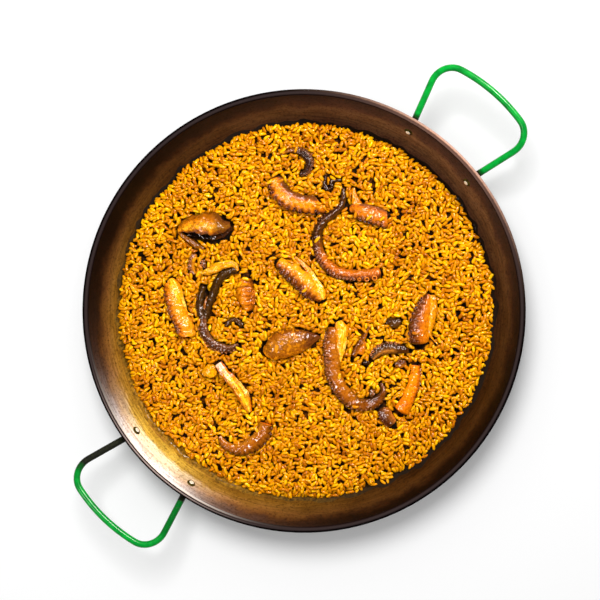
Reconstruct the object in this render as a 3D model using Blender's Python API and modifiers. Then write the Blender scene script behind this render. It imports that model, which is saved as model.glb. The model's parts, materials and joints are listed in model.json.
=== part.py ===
# Rice with octopus, in the wide steel pan that it is cooked and served in.
#
# The frame is in metres with +Z up. The origin is the centre of the pan's underside, and the
# two wire handles lie along X. The food is laid out on a serving plan, in millimetres from the
# pan's centre, right and up as a diner sees it, and the plan is turned against the handles.

import math
import random

import bmesh
import bpy
from mathutils import Matrix, Vector
from mathutils.geometry import delaunay_2d_cdt

MM = 0.001
GAP = 0.0003  # air left between pieces that touch

# The pan: a 46 cm dish of thin sheet with a rolled rim
RIM_RADIUS = 0.230
PAN_HEIGHT = 0.050
SHEET = 0.0013
FLOOR_RADIUS = 0.1883
CORNER_RADIUS = 0.025
WALL_LEAN = math.radians(24)  # of the wall from upright
BEAD_RADIUS = 0.0031
TURN_STEPS = 60
CORNER_STEPS = 3
BEAD_STEPS = 5
BEAD_START = math.radians(208)  # where the rolled edge meets the sheet's inner face
BEAD_END = math.radians(-126)  # and its outer face

# The handles: bent wire whose flattened feet are riveted under the rim
WIRE_RADIUS = 0.0035
HANDLE_REACH = 0.2969  # from the pan's centre to the middle of the bar
HANDLE_SKEW = math.radians(1.27)  # each handle sits this far off the straight line
HANDLE_RISE = math.radians(17)
ARM_SPREAD = math.radians(17)
BAR_BOW = 0.190  # radius of the bar's bow
BEND_RADIUS = 0.021
BEND_STEPS = 5
BAR_STEPS = 4
FOOT_BEND_UP = 0.010  # how far above its rivet the wire turns away from the wall
FOOT_START_UP = 0.0046
FOOT_SIZE = (0.011, 0.018, 0.0032)

# The rivets, two a handle
RIVET_HEIGHT = 0.030
RIVET_OFFSET = 0.0402  # across the handle's middle line
SHANK_RADIUS = 0.0023
HOLE_RADIUS = 0.0027
INNER_HEAD = (0.0034, 0.0018)  # radius and height
OUTER_HEAD = (0.0036, 0.0019)
RIVET_STEPS = 8

# The rice: a thin layer that thins out where the pan's corner begins to rise
RICE_TOP = 12.5  # from here on the food's sizes are in millimetres
RICE_RADIUS = 200.0
RICE_EDGE_TOP = 7.4
RICE_SHOULDER = 184.0
RICE_CLEARANCE = 0.4
EDGE_UNEVEN = 1.3
MOUND = 0.7
BUMP = 1.15
GRAIN = 8.7  # length of a cooked grain, and the pitch of the bumps
LATTICE_JITTER = 0.16
RICE_SEED = 46

# The octopus: how its pieces lie on the rice
SERVING_TURN = math.radians(-47.6)
FLATNESS = 0.72  # height of a piece against its width
SINK = 0.34  # share of its height that lies in the rice
STATION = 8.6
CHANNEL_SIDE = 0.6
CHANNEL_BANK = 1.7
CHANNEL_UNDER = 0.5
SUCKER_SIDES = 5
ROUTE_FINENESS = 12

# Each octopus piece: its strands, each a route of (right, up, half width[, lift]) in
# millimetres, and its rows of suckers, each (strand, side, size, pitch, from, to, tilt), where
# side is 1 for the left of the route and -1 for the right, size and pitch are shares of the
# strand's half width, from and to are shares of its length, and tilt is in degrees above level.
OCTOPUS = {
    "arm_tip_curl": {
        "colour": (0.16, 0.07, 0.05),
        "strands": [{"route": [(-24, 167, 2.5), (-16, 172, 3.4), (-8, 172, 4.2), (0, 168, 4.6),
                               (4, 163, 4.4), (6, 155, 3.8), (3, 148, 3.2), (-4, 144, 2.6)]}],
        "suckers": [],
    },
    "arm_chunk_top": {
        "colour": (0.62, 0.26, 0.05),
        "strands": [{"route": [(-30, 139, 8), (-26, 129, 9.3), (-18, 120, 9.6), (-6, 115, 9.6),
                               (8, 113, 9.4), (18, 113, 9)]}],
        "suckers": [(0, -1, 0.27, 1.0, 0.12, 0.97, 4)],
    },
    "arm_tip_knot": {
        "colour": (0.12, 0.06, 0.05),
        "strands": [{"route": [(40, 139, 1.4), (33, 138, 1.7), (29, 137, 1.9), (30, 132, 1.9),
                               (26, 129, 1.8), (22, 133, 1.8), (23, 139, 1.6), (24, 144, 1.2)],
                     "pitch": 4.5, "roundness": 1}],
        "suckers": [],
    },
    "arm_long_s": {
        "colour": (0.30, 0.12, 0.06),
        "strands": [{"route": [(42, 130, 1.8), (42, 120, 3.2), (40, 111, 3.4), (32, 103, 4),
                               (22, 96, 4.7), (16, 87, 5), (15, 79, 5), (15, 70, 5.2),
                               (18, 59, 5.6), (24, 50, 6), (34, 42, 6.4), (43, 39, 6.4),
                               (54, 38, 6.3), (66, 38, 6.2), (80, 40, 5.8)]}],
        "suckers": [(0, -1, 0.32, 1.4, 0.30, 0.99, 10)],
    },
    "arm_chunk_forked": {
        "colour": (0.60, 0.25, 0.06),
        "strands": [{"route": [(54, 110, 5.6), (61, 105, 8.2), (73, 102, 9.2), (88, 97, 8.8)]},
                    {"route": [(53, 130, 1.5), (54, 122, 3), (57, 112, 5)], "lift": 1.0}],
        "suckers": [(0, -1, 0.26, 1.0, 0.2, 0.97, 4)],
    },
    "mantle_fold": {
        "colour": (0.45, 0.20, 0.05),
        "strands": [{"route": [(-134, 85, 3), (-125, 88, 10.5), (-111, 89, 15.5), (-98, 88, 16.5),
                               (-86, 88, 12.5), (-78, 91, 3.5)],
                     "flatness": 0.54, "sink": 0.2, "roundness": 3},
                    {"route": [(-134, 84, 1.6), (-125, 77, 2.6), (-115, 70, 3.2), (-107, 66, 1.5)],
                     "sink": 0.1, "roundness": 1}],
        "hollow": {"route": [(-121, 79, 3), (-108, 77, 7.5), (-95, 77, 8), (-87, 79, 3)],
                   "flatness": 0.8, "lift": 5.5, "sink": 0.2},
        "suckers": [],
    },
    "arm_chunk_centre": {
        "colour": (0.58, 0.26, 0.06),
        "strands": [{"route": [(-26, 51, 6), (-15, 44, 9.4), (-2, 32, 10), (9, 21, 9),
                               (18, 12, 4)]},
                    {"route": [(-6, 57, 2.2), (4, 45, 4), (13, 31, 4.6), (20, 19, 4),
                               (23, 11, 2)], "lift": 2.5, "flatness": 0.6, "roundness": 1}],
        "suckers": [(0, -1, 0.26, 1.0, 0.1, 0.9, 4)],
    },
    "arm_chunk_left": {
        "colour": (0.66, 0.30, 0.05),
        "strands": [{"route": [(-144, 29, 5), (-141, 19, 7.8), (-137, 6, 8.8), (-132, -6, 9.4),
                               (-126, -18, 9.6), (-125, -27, 9.4)]},
                    {"route": [(-141, 31, 5), (-137, 21, 7), (-132, 11, 5.5), (-126, 1, 2.8),
                               (-120, -4, 1.6)], "lift": 2.5, "flatness": 0.6, "roundness": 1}],
        "suckers": [(0, -1, 0.24, 1.0, 0.1, 0.98, 4)],
    },
    "arm_pair_left": {
        "colour": (0.18, 0.08, 0.04),
        "strands": [{"route": [(-108, -4, 4), (-108, -16, 4.8), (-104, -27, 4.9), (-98, -35, 4.8),
                               (-90, -39, 4.5), (-81, -41, 4.1), (-70, -37, 2.6)]},
                    {"route": [(-72, 42, 3.5), (-80, 43, 4.2), (-88, 39, 4.6), (-94, 28, 4.8),
                               (-98, 15, 4.3), (-102, 5, 3.8), (-107, -8, 3.8)], "roundness": 1},
                    {"route": [(-108, 25, 3.4), (-110, 15, 3.8), (-111, 4, 3.8),
                               (-109, -8, 4)], "roundness": 1},
                    {"route": [(-109, 40, 2), (-100, 44, 3.5), (-92, 49, 4.5), (-83, 51, 4.5),
                               (-75, 49, 4), (-70, 42, 2.8)], "lift": 3, "roundness": 1,
                     "flatness": 0.55}],
        "suckers": [(0, -1, 0.28, 1.5, 0.2, 0.97, 8)],
    },
    "arm_scrap_left": {
        "colour": (0.36, 0.17, 0.08),
        "strands": [{"route": [(-116, 60, 2.6), (-119, 54, 3.6), (-120, 46, 3.6), (-117, 39, 2.6)],
                     "roundness": 1}],
        "suckers": [(0, -1, 0.34, 1.3, 0.2, 0.9, 45)],
    },
    "sucker_scrap_left": {
        "colour": (0.32, 0.15, 0.08),
        "strands": [{"route": [(-107, 54, 2), (-107, 50, 2.8), (-106, 46, 2)], "roundness": 1,
                     "pitch": 4}],
        "suckers": [],
    },
    "arm_chunk_buried": {
        "colour": (0.66, 0.30, 0.04),
        "strands": [{"route": [(-62, 33, 6.5), (-62, 23, 9.4), (-61, 12, 9.4), (-58, 1, 4.5)],
                     "sink": 0.55}],
        "suckers": [(0, 1, 0.27, 1.0, 0.55, 0.95, 25)],
    },
    "arm_tip_hook": {
        "colour": (0.12, 0.06, 0.05),
        "strands": [{"route": [(-83, -16, 2.2), (-79, -12, 2.6), (-75, -10, 2.7), (-70, -12, 2.5),
                               (-66, -16, 1.8)], "pitch": 4.5, "roundness": 1}],
        "suckers": [],
    },
    "mantle_wedge": {
        "colour": (0.40, 0.17, 0.04),
        "strands": [{"route": [(-41, -45, 6), (-33, -42, 12.4), (-19, -35, 14.4), (-3, -32, 11),
                               (9, -30, 7), (18, -29, 2.4)],
                     "flatness": 0.58, "sink": 0.28, "roundness": 3}],
        "suckers": [],
    },
    "arm_long_hook": {
        "colour": (0.30, 0.13, 0.04),
        "strands": [{"route": [(31, -19, 5.6), (29, -37, 7.6), (31, -53, 8.4), (32, -67, 8),
                               (38, -80, 8), (47, -92, 7.9), (58, -99, 7), (71, -99, 6),
                               (80, -94, 4.8), (85, -85, 3.6), (82, -77, 1.8)]},
                    {"route": [(38, -12, 4), (41, -21, 6), (39.5, -34, 5.4), (39, -45, 4),
                               (38, -54, 2)], "lift": 2, "flatness": 0.6, "roundness": 1}],
        "suckers": [(0, -1, 0.25, 1.15, 0.06, 0.9, 6)],
    },
    "arm_stub": {
        "colour": (0.17, 0.08, 0.05),
        "strands": [{"route": [(85, -107, 5.8), (88, -112, 7), (93, -119, 6.2)], "pitch": 5}],
        "suckers": [],
    },
    "web_flap": {
        "colour": (0.48, 0.20, 0.05),
        "strands": [{"route": [(69, -18, 1.4), (63, -29, 4), (58, -39, 6.4), (56, -47, 5)],
                     "flatness": 0.4, "sink": 0.4}],
        "suckers": [],
    },
    "arm_scrap_right": {
        "colour": (0.14, 0.08, 0.06),
        "strands": [{"route": [(88, -13, 1.8), (92, -11, 4), (97, -13, 5.2), (102, -10, 3)],
                     "pitch": 5}],
        "suckers": [],
    },
    "arm_arch": {
        "colour": (0.20, 0.09, 0.06),
        "strands": [{"route": [(74, -49, 3.4), (81, -43, 5.4), (91, -40, 6.4), (101, -40, 5.4),
                               (110, -41, 2.8)]}],
        "suckers": [(0, 1, 0.28, 1.1, 0.08, 0.8, 8)],
    },
    "arm_chunk_right": {
        "colour": (0.58, 0.22, 0.04),
        "strands": [{"route": [(132, 17, 3.2), (128, 5, 6.8), (124, -7, 8.8), (122, -20, 10),
                               (123, -32, 10)]},
                    {"route": [(136, 15, 3), (137, 2, 4), (136, -11, 4.2), (134, -24, 3),
                               (139, -33, 1.5)], "lift": 2.5, "flatness": 0.6, "roundness": 1}],
        "suckers": [(0, -1, 0.27, 1.05, 0.12, 0.97, 6)],
    },
    "arm_strip_right": {
        "colour": (0.72, 0.25, 0.03),
        "strands": [{"route": [(119, -58, 5), (118, -71, 6), (115, -83, 6.6), (110, -95, 7),
                               (104, -105, 8.4)], "flatness": 0.6}],
        "suckers": [(0, 1, 0.32, 1.4, 0.08, 0.4, 10)],
    },
    "arm_strip_pale": {
        "colour": (0.85, 0.52, 0.14),
        "strands": [{"route": [(-90, -59, 5, 9), (-82, -67, 5.4, 8), (-73, -77, 5.8, 6),
                               (-66, -88, 6.4, 4), (-62, -98, 6.2, 2), (-59, -109, 3, 0)],
                     "flatness": 0.7}],
        "suckers": [],
    },
    "flesh_disc": {
        "colour": (0.86, 0.50, 0.04),
        "strands": [{"route": [(-107, -66, 3.6), (-104, -66, 6), (-99, -66.5, 6), (-97, -66.5, 3.6)],
                     "pitch": 3.5, "sink": 0.1, "lift": 3, "flatness": 0.5}],
        "suckers": [],
    },
    "arm_arc_low": {
        "colour": (0.32, 0.14, 0.04),
        "strands": [{"route": [(-40, -121, 7), (-43, -130, 8.2), (-51, -140, 8.2),
                               (-60, -146, 7.2), (-72, -148, 6), (-84, -143, 4.2),
                               (-90, -135, 2.4)]}],
        "suckers": [(0, 1, 0.24, 1.3, 0.05, 0.6, 0)],
    },
    "arm_scrap_mid": {
        "colour": (0.12, 0.07, 0.05),
        "strands": [{"route": [(64, -55, 2), (67, -55, 3), (70, -55, 2)], "pitch": 3,
                     "roundness": 1}],
        "suckers": [],
    },
    "sucker_scrap_right": {
        "colour": (0.40, 0.18, 0.08),
        "strands": [{"route": [(98, -57, 3), (103, -56, 4.4), (108, -55, 3)], "pitch": 5,
                     "roundness": 1, "flatness": 0.6}],
        "suckers": [],
    },
    "sucker_scrap_low": {
        "colour": (0.22, 0.11, 0.06),
        "strands": [{"route": [(72, -84, 2.4), (72.5, -87.5, 3.2), (72, -91, 2.2)], "pitch": 3.5,
                     "roundness": 1}],
        "suckers": [],
    },
}


# Scene, collections and materials


def clear_scene():
    for thing in list(bpy.data.objects):
        bpy.data.objects.remove(thing, do_unlink=True)


def new_collection(name):
    collection = bpy.data.collections.new(name)
    bpy.context.scene.collection.children.link(collection)
    return collection


def material(name, colour, roughness, metallic=0.0):
    made = bpy.data.materials.new(name)
    made.use_nodes = True
    shader = made.node_tree.nodes["Principled BSDF"]
    shader.inputs["Base Color"].default_value = (*colour, 1)
    shader.inputs["Roughness"].default_value = roughness
    shader.inputs["Metallic"].default_value = metallic
    made.diffuse_color = (*colour, 1)
    return made


def new_object(name, mesh, collection):
    thing = bpy.data.objects.new(name, mesh)
    collection.objects.link(thing)
    return thing


def finish(thing, finish_material, smooth_angle=35):
    thing.data.materials.clear()
    thing.data.materials.append(finish_material)
    thing.data.shade_smooth()
    thing.data.set_sharp_from_angle(angle=math.radians(smooth_angle))


def mesh_from(bm, name):
    mesh = bpy.data.meshes.new(name)
    bm.to_mesh(mesh)
    bm.free()
    return mesh


def hide_cutter(thing):
    thing.hide_render = True
    thing.display_type = "WIRE"


# Turning, joining and cutting


def turned(name, profile, steps, collection):
    bm = bmesh.new()
    marks = [bm.verts.new((radius, 0, height)) for radius, height in profile]
    for first, second in zip(marks, marks[1:]):
        bm.edges.new((first, second))
    thing = new_object(name, mesh_from(bm, name), collection)
    screw = thing.modifiers.new("turn", "SCREW")
    screw.steps = steps
    screw.render_steps = steps
    screw.use_merge_vertices = True
    screw.merge_threshold = 0.00001
    return thing


def applied(thing):
    # replaces an object's mesh with what its modifiers make of it
    bpy.context.view_layer.update()
    graph = bpy.context.evaluated_depsgraph_get()
    mesh = bpy.data.meshes.new_from_object(thing.evaluated_get(graph))
    thing.modifiers.clear()
    thing.data = mesh
    return thing


def boolean(thing, collection, operation):
    cut = thing.modifiers.new(operation.lower(), "BOOLEAN")
    cut.operation = operation
    cut.operand_type = "COLLECTION"
    cut.collection = collection
    cut.solver = "EXACT"
    return cut


def joined(thing, pieces, operation="UNION"):
    # fuses the pieces to an object, or cuts them from it, and removes them
    hold = new_collection("to join")
    for piece in pieces:
        for owner in list(piece.users_collection):
            owner.objects.unlink(piece)
        hold.objects.link(piece)
    boolean(thing, hold, operation)
    applied(thing)
    for piece in pieces:
        bpy.data.objects.remove(piece, do_unlink=True)
    bpy.data.collections.remove(hold)
    return thing


def meshed_curve(carrier, collection):
    # a curve as a mesh object in its place, its caps welded on
    bpy.context.view_layer.update()
    graph = bpy.context.evaluated_depsgraph_get()
    mesh = bpy.data.meshes.new_from_object(carrier.evaluated_get(graph))
    bm = bmesh.new()
    bm.from_mesh(mesh)
    bm.transform(carrier.matrix_world)
    bmesh.ops.remove_doubles(bm, verts=bm.verts, dist=0.00001)
    bm.to_mesh(mesh)
    bm.free()
    name = carrier.name
    bpy.data.objects.remove(carrier, do_unlink=True)
    return new_object(name, mesh, collection)


# The pan


def arc(centre, radius, start, end, steps):
    angles = [start + (end - start) * step / steps for step in range(steps + 1)]
    return [(centre[0] + radius * math.cos(a), centre[1] + radius * math.sin(a)) for a in angles]


def corner(offset, steps=CORNER_STEPS):
    # the rounded corner between floor and wall, offset outwards from the inner face
    centre = (FLOOR_RADIUS, SHEET + CORNER_RADIUS)
    return arc(centre, CORNER_RADIUS + offset, math.radians(-90), -WALL_LEAN, steps)


def wall_radius(height):
    # of the inner face, above the corner
    start_radius, start_height = corner(0)[-1]
    return start_radius + (height - start_height) * math.tan(WALL_LEAN)


def pan_profile():
    bead_centre = (RIM_RADIUS - BEAD_RADIUS, PAN_HEIGHT - BEAD_RADIUS)
    bead = arc(bead_centre, BEAD_RADIUS, BEAD_START, BEAD_END, BEAD_STEPS)
    return [(0, SHEET)] + corner(0) + bead + corner(SHEET)[::-1] + [(0, 0)]


def make_pan(parts, holes):
    pan = turned("pan", pan_profile(), TURN_STEPS, parts)
    boolean(pan, holes, "DIFFERENCE")
    finish(pan, material("seasoned steel", (0.13, 0.07, 0.035), 0.42, 0.85))
    return pan


# The handles and rivets


def wall_frame(azimuth, height):
    # a frame on the wall's inner face: X along the rim, Y up the wall, Z out through the sheet
    radius = wall_radius(height)
    along = Vector((-math.sin(azimuth), math.cos(azimuth), 0))
    radial = Vector((math.cos(azimuth), math.sin(azimuth), 0))
    up = radial * math.sin(WALL_LEAN) + Vector((0, 0, math.cos(WALL_LEAN)))
    out = along.cross(up)
    frame = Matrix((along, up, out)).transposed().to_4x4()
    frame.translation = radial * radius + Vector((0, 0, height))
    return frame


def rivet_frames(turn):
    azimuth = math.asin(RIVET_OFFSET / wall_radius(RIVET_HEIGHT))
    return [wall_frame(turn + side * azimuth, RIVET_HEIGHT) for side in (1, -1)]


def rivet_profile():
    inner_radius, inner_height = INNER_HEAD
    outer_radius, outer_height = OUTER_HEAD
    seat = SHEET + GAP + FOOT_SIZE[2] + GAP
    return [
        (0, seat + outer_height),
        (outer_radius * 0.75, seat + outer_height * 0.7),
        (outer_radius, seat),
        (SHANK_RADIUS, seat),
        (SHANK_RADIUS, -GAP),
        (inner_radius, -GAP),
        (inner_radius * 0.75, -GAP - inner_height * 0.7),
        (0, -GAP - inner_height),
    ]


def make_rivet(name, frame, parts, finish_material):
    rivet = turned(name, rivet_profile(), RIVET_STEPS, parts)
    rivet.matrix_world = frame
    finish(rivet, finish_material)
    return rivet


def make_hole(frame, cutters):
    bm = bmesh.new()
    bmesh.ops.create_cone(bm, cap_ends=True, segments=RIVET_STEPS + 2, radius1=HOLE_RADIUS,
                          radius2=HOLE_RADIUS, depth=4 * FOOT_SIZE[2])
    hole = new_object("rivet hole", mesh_from(bm, "rivet hole"), cutters)
    hole.matrix_world = frame
    hide_cutter(hole)
    return hole


def arm_and_bend(start):
    # one half of the handle in plan, from the foot's bend to the middle of the bar: a straight
    # arm, then a bend that is tangent to the arm and to the bowed bar
    direction = Vector((math.cos(ARM_SPREAD), math.sin(ARM_SPREAD)))
    inwards = Vector((direction.y, -direction.x))
    bow_centre = Vector((HANDLE_REACH - BAR_BOW, 0))
    offset = start + inwards * BEND_RADIUS - bow_centre
    half = offset.dot(direction)
    run = math.sqrt(half * half - offset.length_squared + (BAR_BOW - BEND_RADIUS) ** 2) - half
    bend_centre = bow_centre + offset + direction * run
    bend_from = math.radians(90) + ARM_SPREAD
    bend_to = math.atan2(bend_centre.y, bend_centre.x - bow_centre.x)
    bend = arc(bend_centre, BEND_RADIUS, bend_from, bend_to, BEND_STEPS)
    bar = arc(bow_centre, BAR_BOW, bend_to, 0, BAR_STEPS)
    return [start, (start + Vector(bend[0])) / 2] + bend + bar[1:]


def handle_route():
    # in the frame of a handle that reaches along X
    foot = rivet_frames(0)[0]
    stand = SHEET + GAP * 2 + WIRE_RADIUS
    foot_start = foot @ Vector((0, FOOT_START_UP, stand))
    foot_bend = foot @ Vector((0, FOOT_BEND_UP, stand))
    half = [foot_start]
    for across, along in arm_and_bend(Vector((foot_bend.x, foot_bend.y))):
        rise = (across - foot_bend.x) * math.tan(HANDLE_RISE)
        half.append(Vector((across, along, foot_bend.z + rise)))
    mirrored = [Vector((place.x, -place.y, place.z)) for place in half[-2::-1]]
    return half + mirrored


def make_handle(name, turn, parts, holes, finish_material):
    curve = bpy.data.curves.new(name, "CURVE")
    curve.dimensions = "3D"
    curve.bevel_depth = WIRE_RADIUS
    curve.bevel_resolution = 2
    curve.use_fill_caps = True
    route = handle_route()
    spline = curve.splines.new("POLY")
    spline.points.add(len(route) - 1)
    for point, place in zip(spline.points, route):
        point.co = (*place, 1)
    carrier = new_object(name, curve, parts)
    carrier.matrix_world = Matrix.Rotation(turn, 4, "Z")
    handle = meshed_curve(carrier, parts)
    handle.name = name
    feet = []
    for frame in rivet_frames(turn):
        bm = bmesh.new()
        bmesh.ops.create_cone(bm, cap_ends=True, segments=8, radius1=0.5, radius2=0.5, depth=1)
        foot = new_object("foot", mesh_from(bm, "foot"), parts)
        middle = SHEET + GAP + FOOT_SIZE[2] / 2
        size = Matrix.Diagonal((*FOOT_SIZE, 1))
        foot.data.transform(frame @ Matrix.Translation((0, FOOT_SIZE[2] / 2, middle)) @ size)
        feet.append(foot)
    joined(handle, feet)
    boolean(handle, holes, "DIFFERENCE")
    finish(handle, finish_material)
    return handle


# The octopus


def on_plan(right, up, height=0.0):
    turned_place = Matrix.Rotation(SERVING_TURN, 2) @ Vector((right, up))
    return Vector((turned_place.x, turned_place.y, height)) * MM


def catmull_rom(a, b, c, d, share):
    return tuple(
        q + 0.5 * share * (r - p + share * (2 * p - 5 * q + 4 * r - s
                                            + share * (3 * (q - r) + s - p)))
        for p, q, r, s in zip(a, b, c, d)
    )


def stations(strand, pitch=None):
    # evenly spaced (right, up, half width, height of the middle) along a strand
    flatness = strand.get("flatness", FLATNESS)
    rise = 1 - 2 * strand.get("sink", SINK)
    marks = []
    for right, up, half, *lift in strand["route"]:
        lifted = strand.get("lift", 0) + sum(lift)
        marks.append((right, up, half, RICE_TOP + half * flatness * rise + lifted))
    ends = [marks[0]] + marks + [marks[-1]]
    fine = []
    for a, b, c, d in zip(ends, ends[1:], ends[2:], ends[3:]):
        fine += [catmull_rom(a, b, c, d, k / ROUTE_FINENESS) for k in range(ROUTE_FINENESS)]
    fine.append(marks[-1])
    lengths = [0.0]
    for a, b in zip(fine, fine[1:]):
        lengths.append(lengths[-1] + math.dist(a[:2], b[:2]))
    count = max(2, round(lengths[-1] / (pitch or strand.get("pitch", STATION))))
    found = []
    index = 0
    for k in range(count + 1):
        wanted = lengths[-1] * k / count
        while index < len(lengths) - 2 and lengths[index + 1] < wanted:
            index += 1
        share = (wanted - lengths[index]) / (lengths[index + 1] - lengths[index])
        found.append(tuple(p + (q - p) * share for p, q in zip(fine[index], fine[index + 1])))
    return found


def make_strand(name, strand, parts):
    flatness = strand.get("flatness", FLATNESS)
    curve = bpy.data.curves.new(name, "CURVE")
    curve.dimensions = "3D"
    curve.bevel_depth = MM
    curve.bevel_resolution = strand.get("roundness", 2)
    curve.use_fill_caps = True
    marks = stations(strand)
    spline = curve.splines.new("POLY")
    spline.points.add(len(marks) - 1)
    for point, (right, up, half, height) in zip(spline.points, marks):
        point.co = (*on_plan(right, up, height / flatness), 1)
        point.radius = half
    carrier = new_object(name, curve, parts)
    carrier.scale.z = flatness
    return meshed_curve(carrier, parts)


def headings(marks):
    # the unit direction of travel at each station
    found = []
    for k in range(len(marks)):
        before = Vector(marks[max(k - 1, 0)][:2])
        after = Vector(marks[min(k + 1, len(marks) - 1)][:2])
        found.append((after - before).normalized())
    return found


def make_suckers(strand, row, parts):
    # short tapered cups along one side of a strand
    _, side, size, pitch, start, end, tilt = row
    flatness = strand.get("flatness", FLATNESS)
    tilt = math.radians(tilt)
    fine = stations(strand, 1.0)
    directions = headings(fine)
    bm = bmesh.new()
    travelled = start * len(fine)
    while travelled < end * len(fine):
        index = min(int(travelled), len(fine) - 1)
        right, up, half, height = fine[index]
        heading = directions[index]
        across = Vector((-heading.y, heading.x)) * side
        surface = Vector((right, up)) + across * half * math.cos(tilt)
        place = on_plan(surface.x, surface.y, height + half * flatness * math.sin(tilt))
        outwards = on_plan(across.x * math.cos(tilt), across.y * math.cos(tilt), math.sin(tilt))
        turn = outwards.to_track_quat("Z", "Y").to_matrix().to_4x4()
        cup = half * size * MM
        bmesh.ops.create_cone(bm, cap_ends=True, segments=SUCKER_SIDES, radius1=cup,
                              radius2=cup * 0.75, depth=cup * 1.3,
                              matrix=Matrix.Translation(place) @ turn)
        travelled += half * pitch
    return new_object("suckers", mesh_from(bm, "suckers"), parts)


def make_octopus_piece(name, piece, parts):
    strands = [make_strand(name, strand, parts) for strand in piece["strands"]]
    body = strands[0]
    body.name = name
    if "hollow" in piece:
        joined(body, [make_strand("hollow", piece["hollow"], parts)], "DIFFERENCE")
    extras = strands[1:]
    for row in piece["suckers"]:
        extras.append(make_suckers(piece["strands"][row[0]], row, parts))
    if extras:
        joined(body, extras)
    finish(body, material(name + " flesh", piece["colour"], 0.3), 60)
    return body


# The rice


def strand_widths():
    # every strand as stations with the half width of the channel that it lies in
    found = []
    for piece in OCTOPUS.values():
        for index, strand in enumerate(piece["strands"]):
            rows = [row for row in piece["suckers"] if row[0] == index]
            bulge = max((row[2] * 0.65 for row in rows), default=0)
            flatness = strand.get("flatness", FLATNESS)
            marks = []
            for right, up, half, height in stations(strand):
                under = min(height - half * flatness, RICE_TOP) - CHANNEL_UNDER
                marks.append((right, up, half * (1 + bulge) + CHANNEL_SIDE, under))
            found.append(marks)
    return found


def nearest(place, marks):
    # (distance past the channel's side, height under the strand) at the nearest of its lengths
    best = (math.inf, 0.0)
    for a, b in zip(marks, marks[1:]):
        start = Vector(a[:2])
        run = Vector(b[:2]) - start
        share = min(1.0, max(0.0, (place - start).dot(run) / run.length_squared))
        width = a[2] + (b[2] - a[2]) * share
        past = (place - start - run * share).length - width
        best = min(best, (past, min(a[3], b[3])))
    return best


def surface_height(right, up, edge):
    # of the rice before its bumps, falling to the edge
    distance = math.hypot(right, up)
    mound = MOUND * (math.sin(right / 27 + 1.1) * math.sin(up / 33 + 0.4)
                     + 0.5 * math.sin(right / 13 - up / 17))
    share = min(1.0, max(0.0, (distance - RICE_SHOULDER) / (edge - RICE_SHOULDER)))
    fall = share * share
    return (RICE_TOP + mound) * (1 - fall) + RICE_EDGE_TOP * fall


def channel_points(channels):
    # low points along the floor of each channel, then high ones along its banks
    low, high = [], []
    for marks in channels:
        directions = headings(marks)
        ends = (0, len(marks) - 1)
        for k, ((right, up, width, under), heading) in enumerate(zip(marks, directions)):
            middle = Vector((right, up))
            across = Vector((-heading.y, heading.x))
            beyond = {ends[0]: -1, ends[1]: 1}.get(k, 0)
            cap = heading * beyond * CHANNEL_SIDE
            bank = heading * beyond * (CHANNEL_SIDE + CHANNEL_BANK)
            low += [(middle + cap + across * width * side, under) for side in (-1, 1)]
            if width > GRAIN / 2 or beyond:
                low.append((middle + cap, under))
            reach = width + CHANNEL_BANK
            high += [middle + bank + across * reach * side for side in (-1, 1)]
            if beyond:
                high.append(middle + bank)
    return low, high


def rice_points(edge_radii, chance):
    # (place, height) of each point of the rice's top inside its edge
    channels = strand_widths()
    low, high = channel_points(channels)
    points = []

    def clear_of_points(place, least):
        return all((place - other).length > least for other, _ in points)

    for place, under in low:
        for marks in channels:
            past, other_under = nearest(place, marks)
            if past < CHANNEL_SIDE:
                under = min(under, other_under)
        if clear_of_points(place, CHANNEL_SIDE):
            points.append((place, under))
    for place in high:
        past = min(nearest(place, marks)[0] for marks in channels)
        if past > CHANNEL_BANK * 0.75 and clear_of_points(place, CHANNEL_BANK):
            points.append((place, surface_height(*place, RICE_RADIUS)))
    row_pitch = GRAIN * math.sqrt(3) / 2
    rows = int(RICE_RADIUS / row_pitch)
    raised = set()
    for row in range(-rows, rows + 1):
        for column in range(-rows, rows + 1):
            shift = 0.5 * (row % 2)
            wander = [chance.gauss(0, LATTICE_JITTER) * GRAIN for _ in range(2)]
            place = Vector(((column + shift) * GRAIN + wander[0], row * row_pitch + wander[1]))
            # a grain is a ridge over two neighbours of the lattice, laid by chance
            neighbours = [(row, column - 1), (row - 1, column), (row - 1, column + row % 2)]
            lying = any(other in raised for other in neighbours) and chance.random() < 0.45
            if lying or chance.random() < 0.3:
                raised.add((row, column))
            bump = BUMP if (row, column) in raised else -BUMP
            bump *= chance.uniform(0.5, 1.2)
            edge = edge_radii[int(math.atan2(place.y, place.x) / math.tau * len(edge_radii))]
            if place.length > edge - GRAIN * 0.7:
                continue
            if min(nearest(place, marks)[0] for marks in channels) < CHANNEL_BANK + GRAIN * 0.3:
                continue
            points.append((place, surface_height(*place, edge) + bump))
    return points


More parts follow.
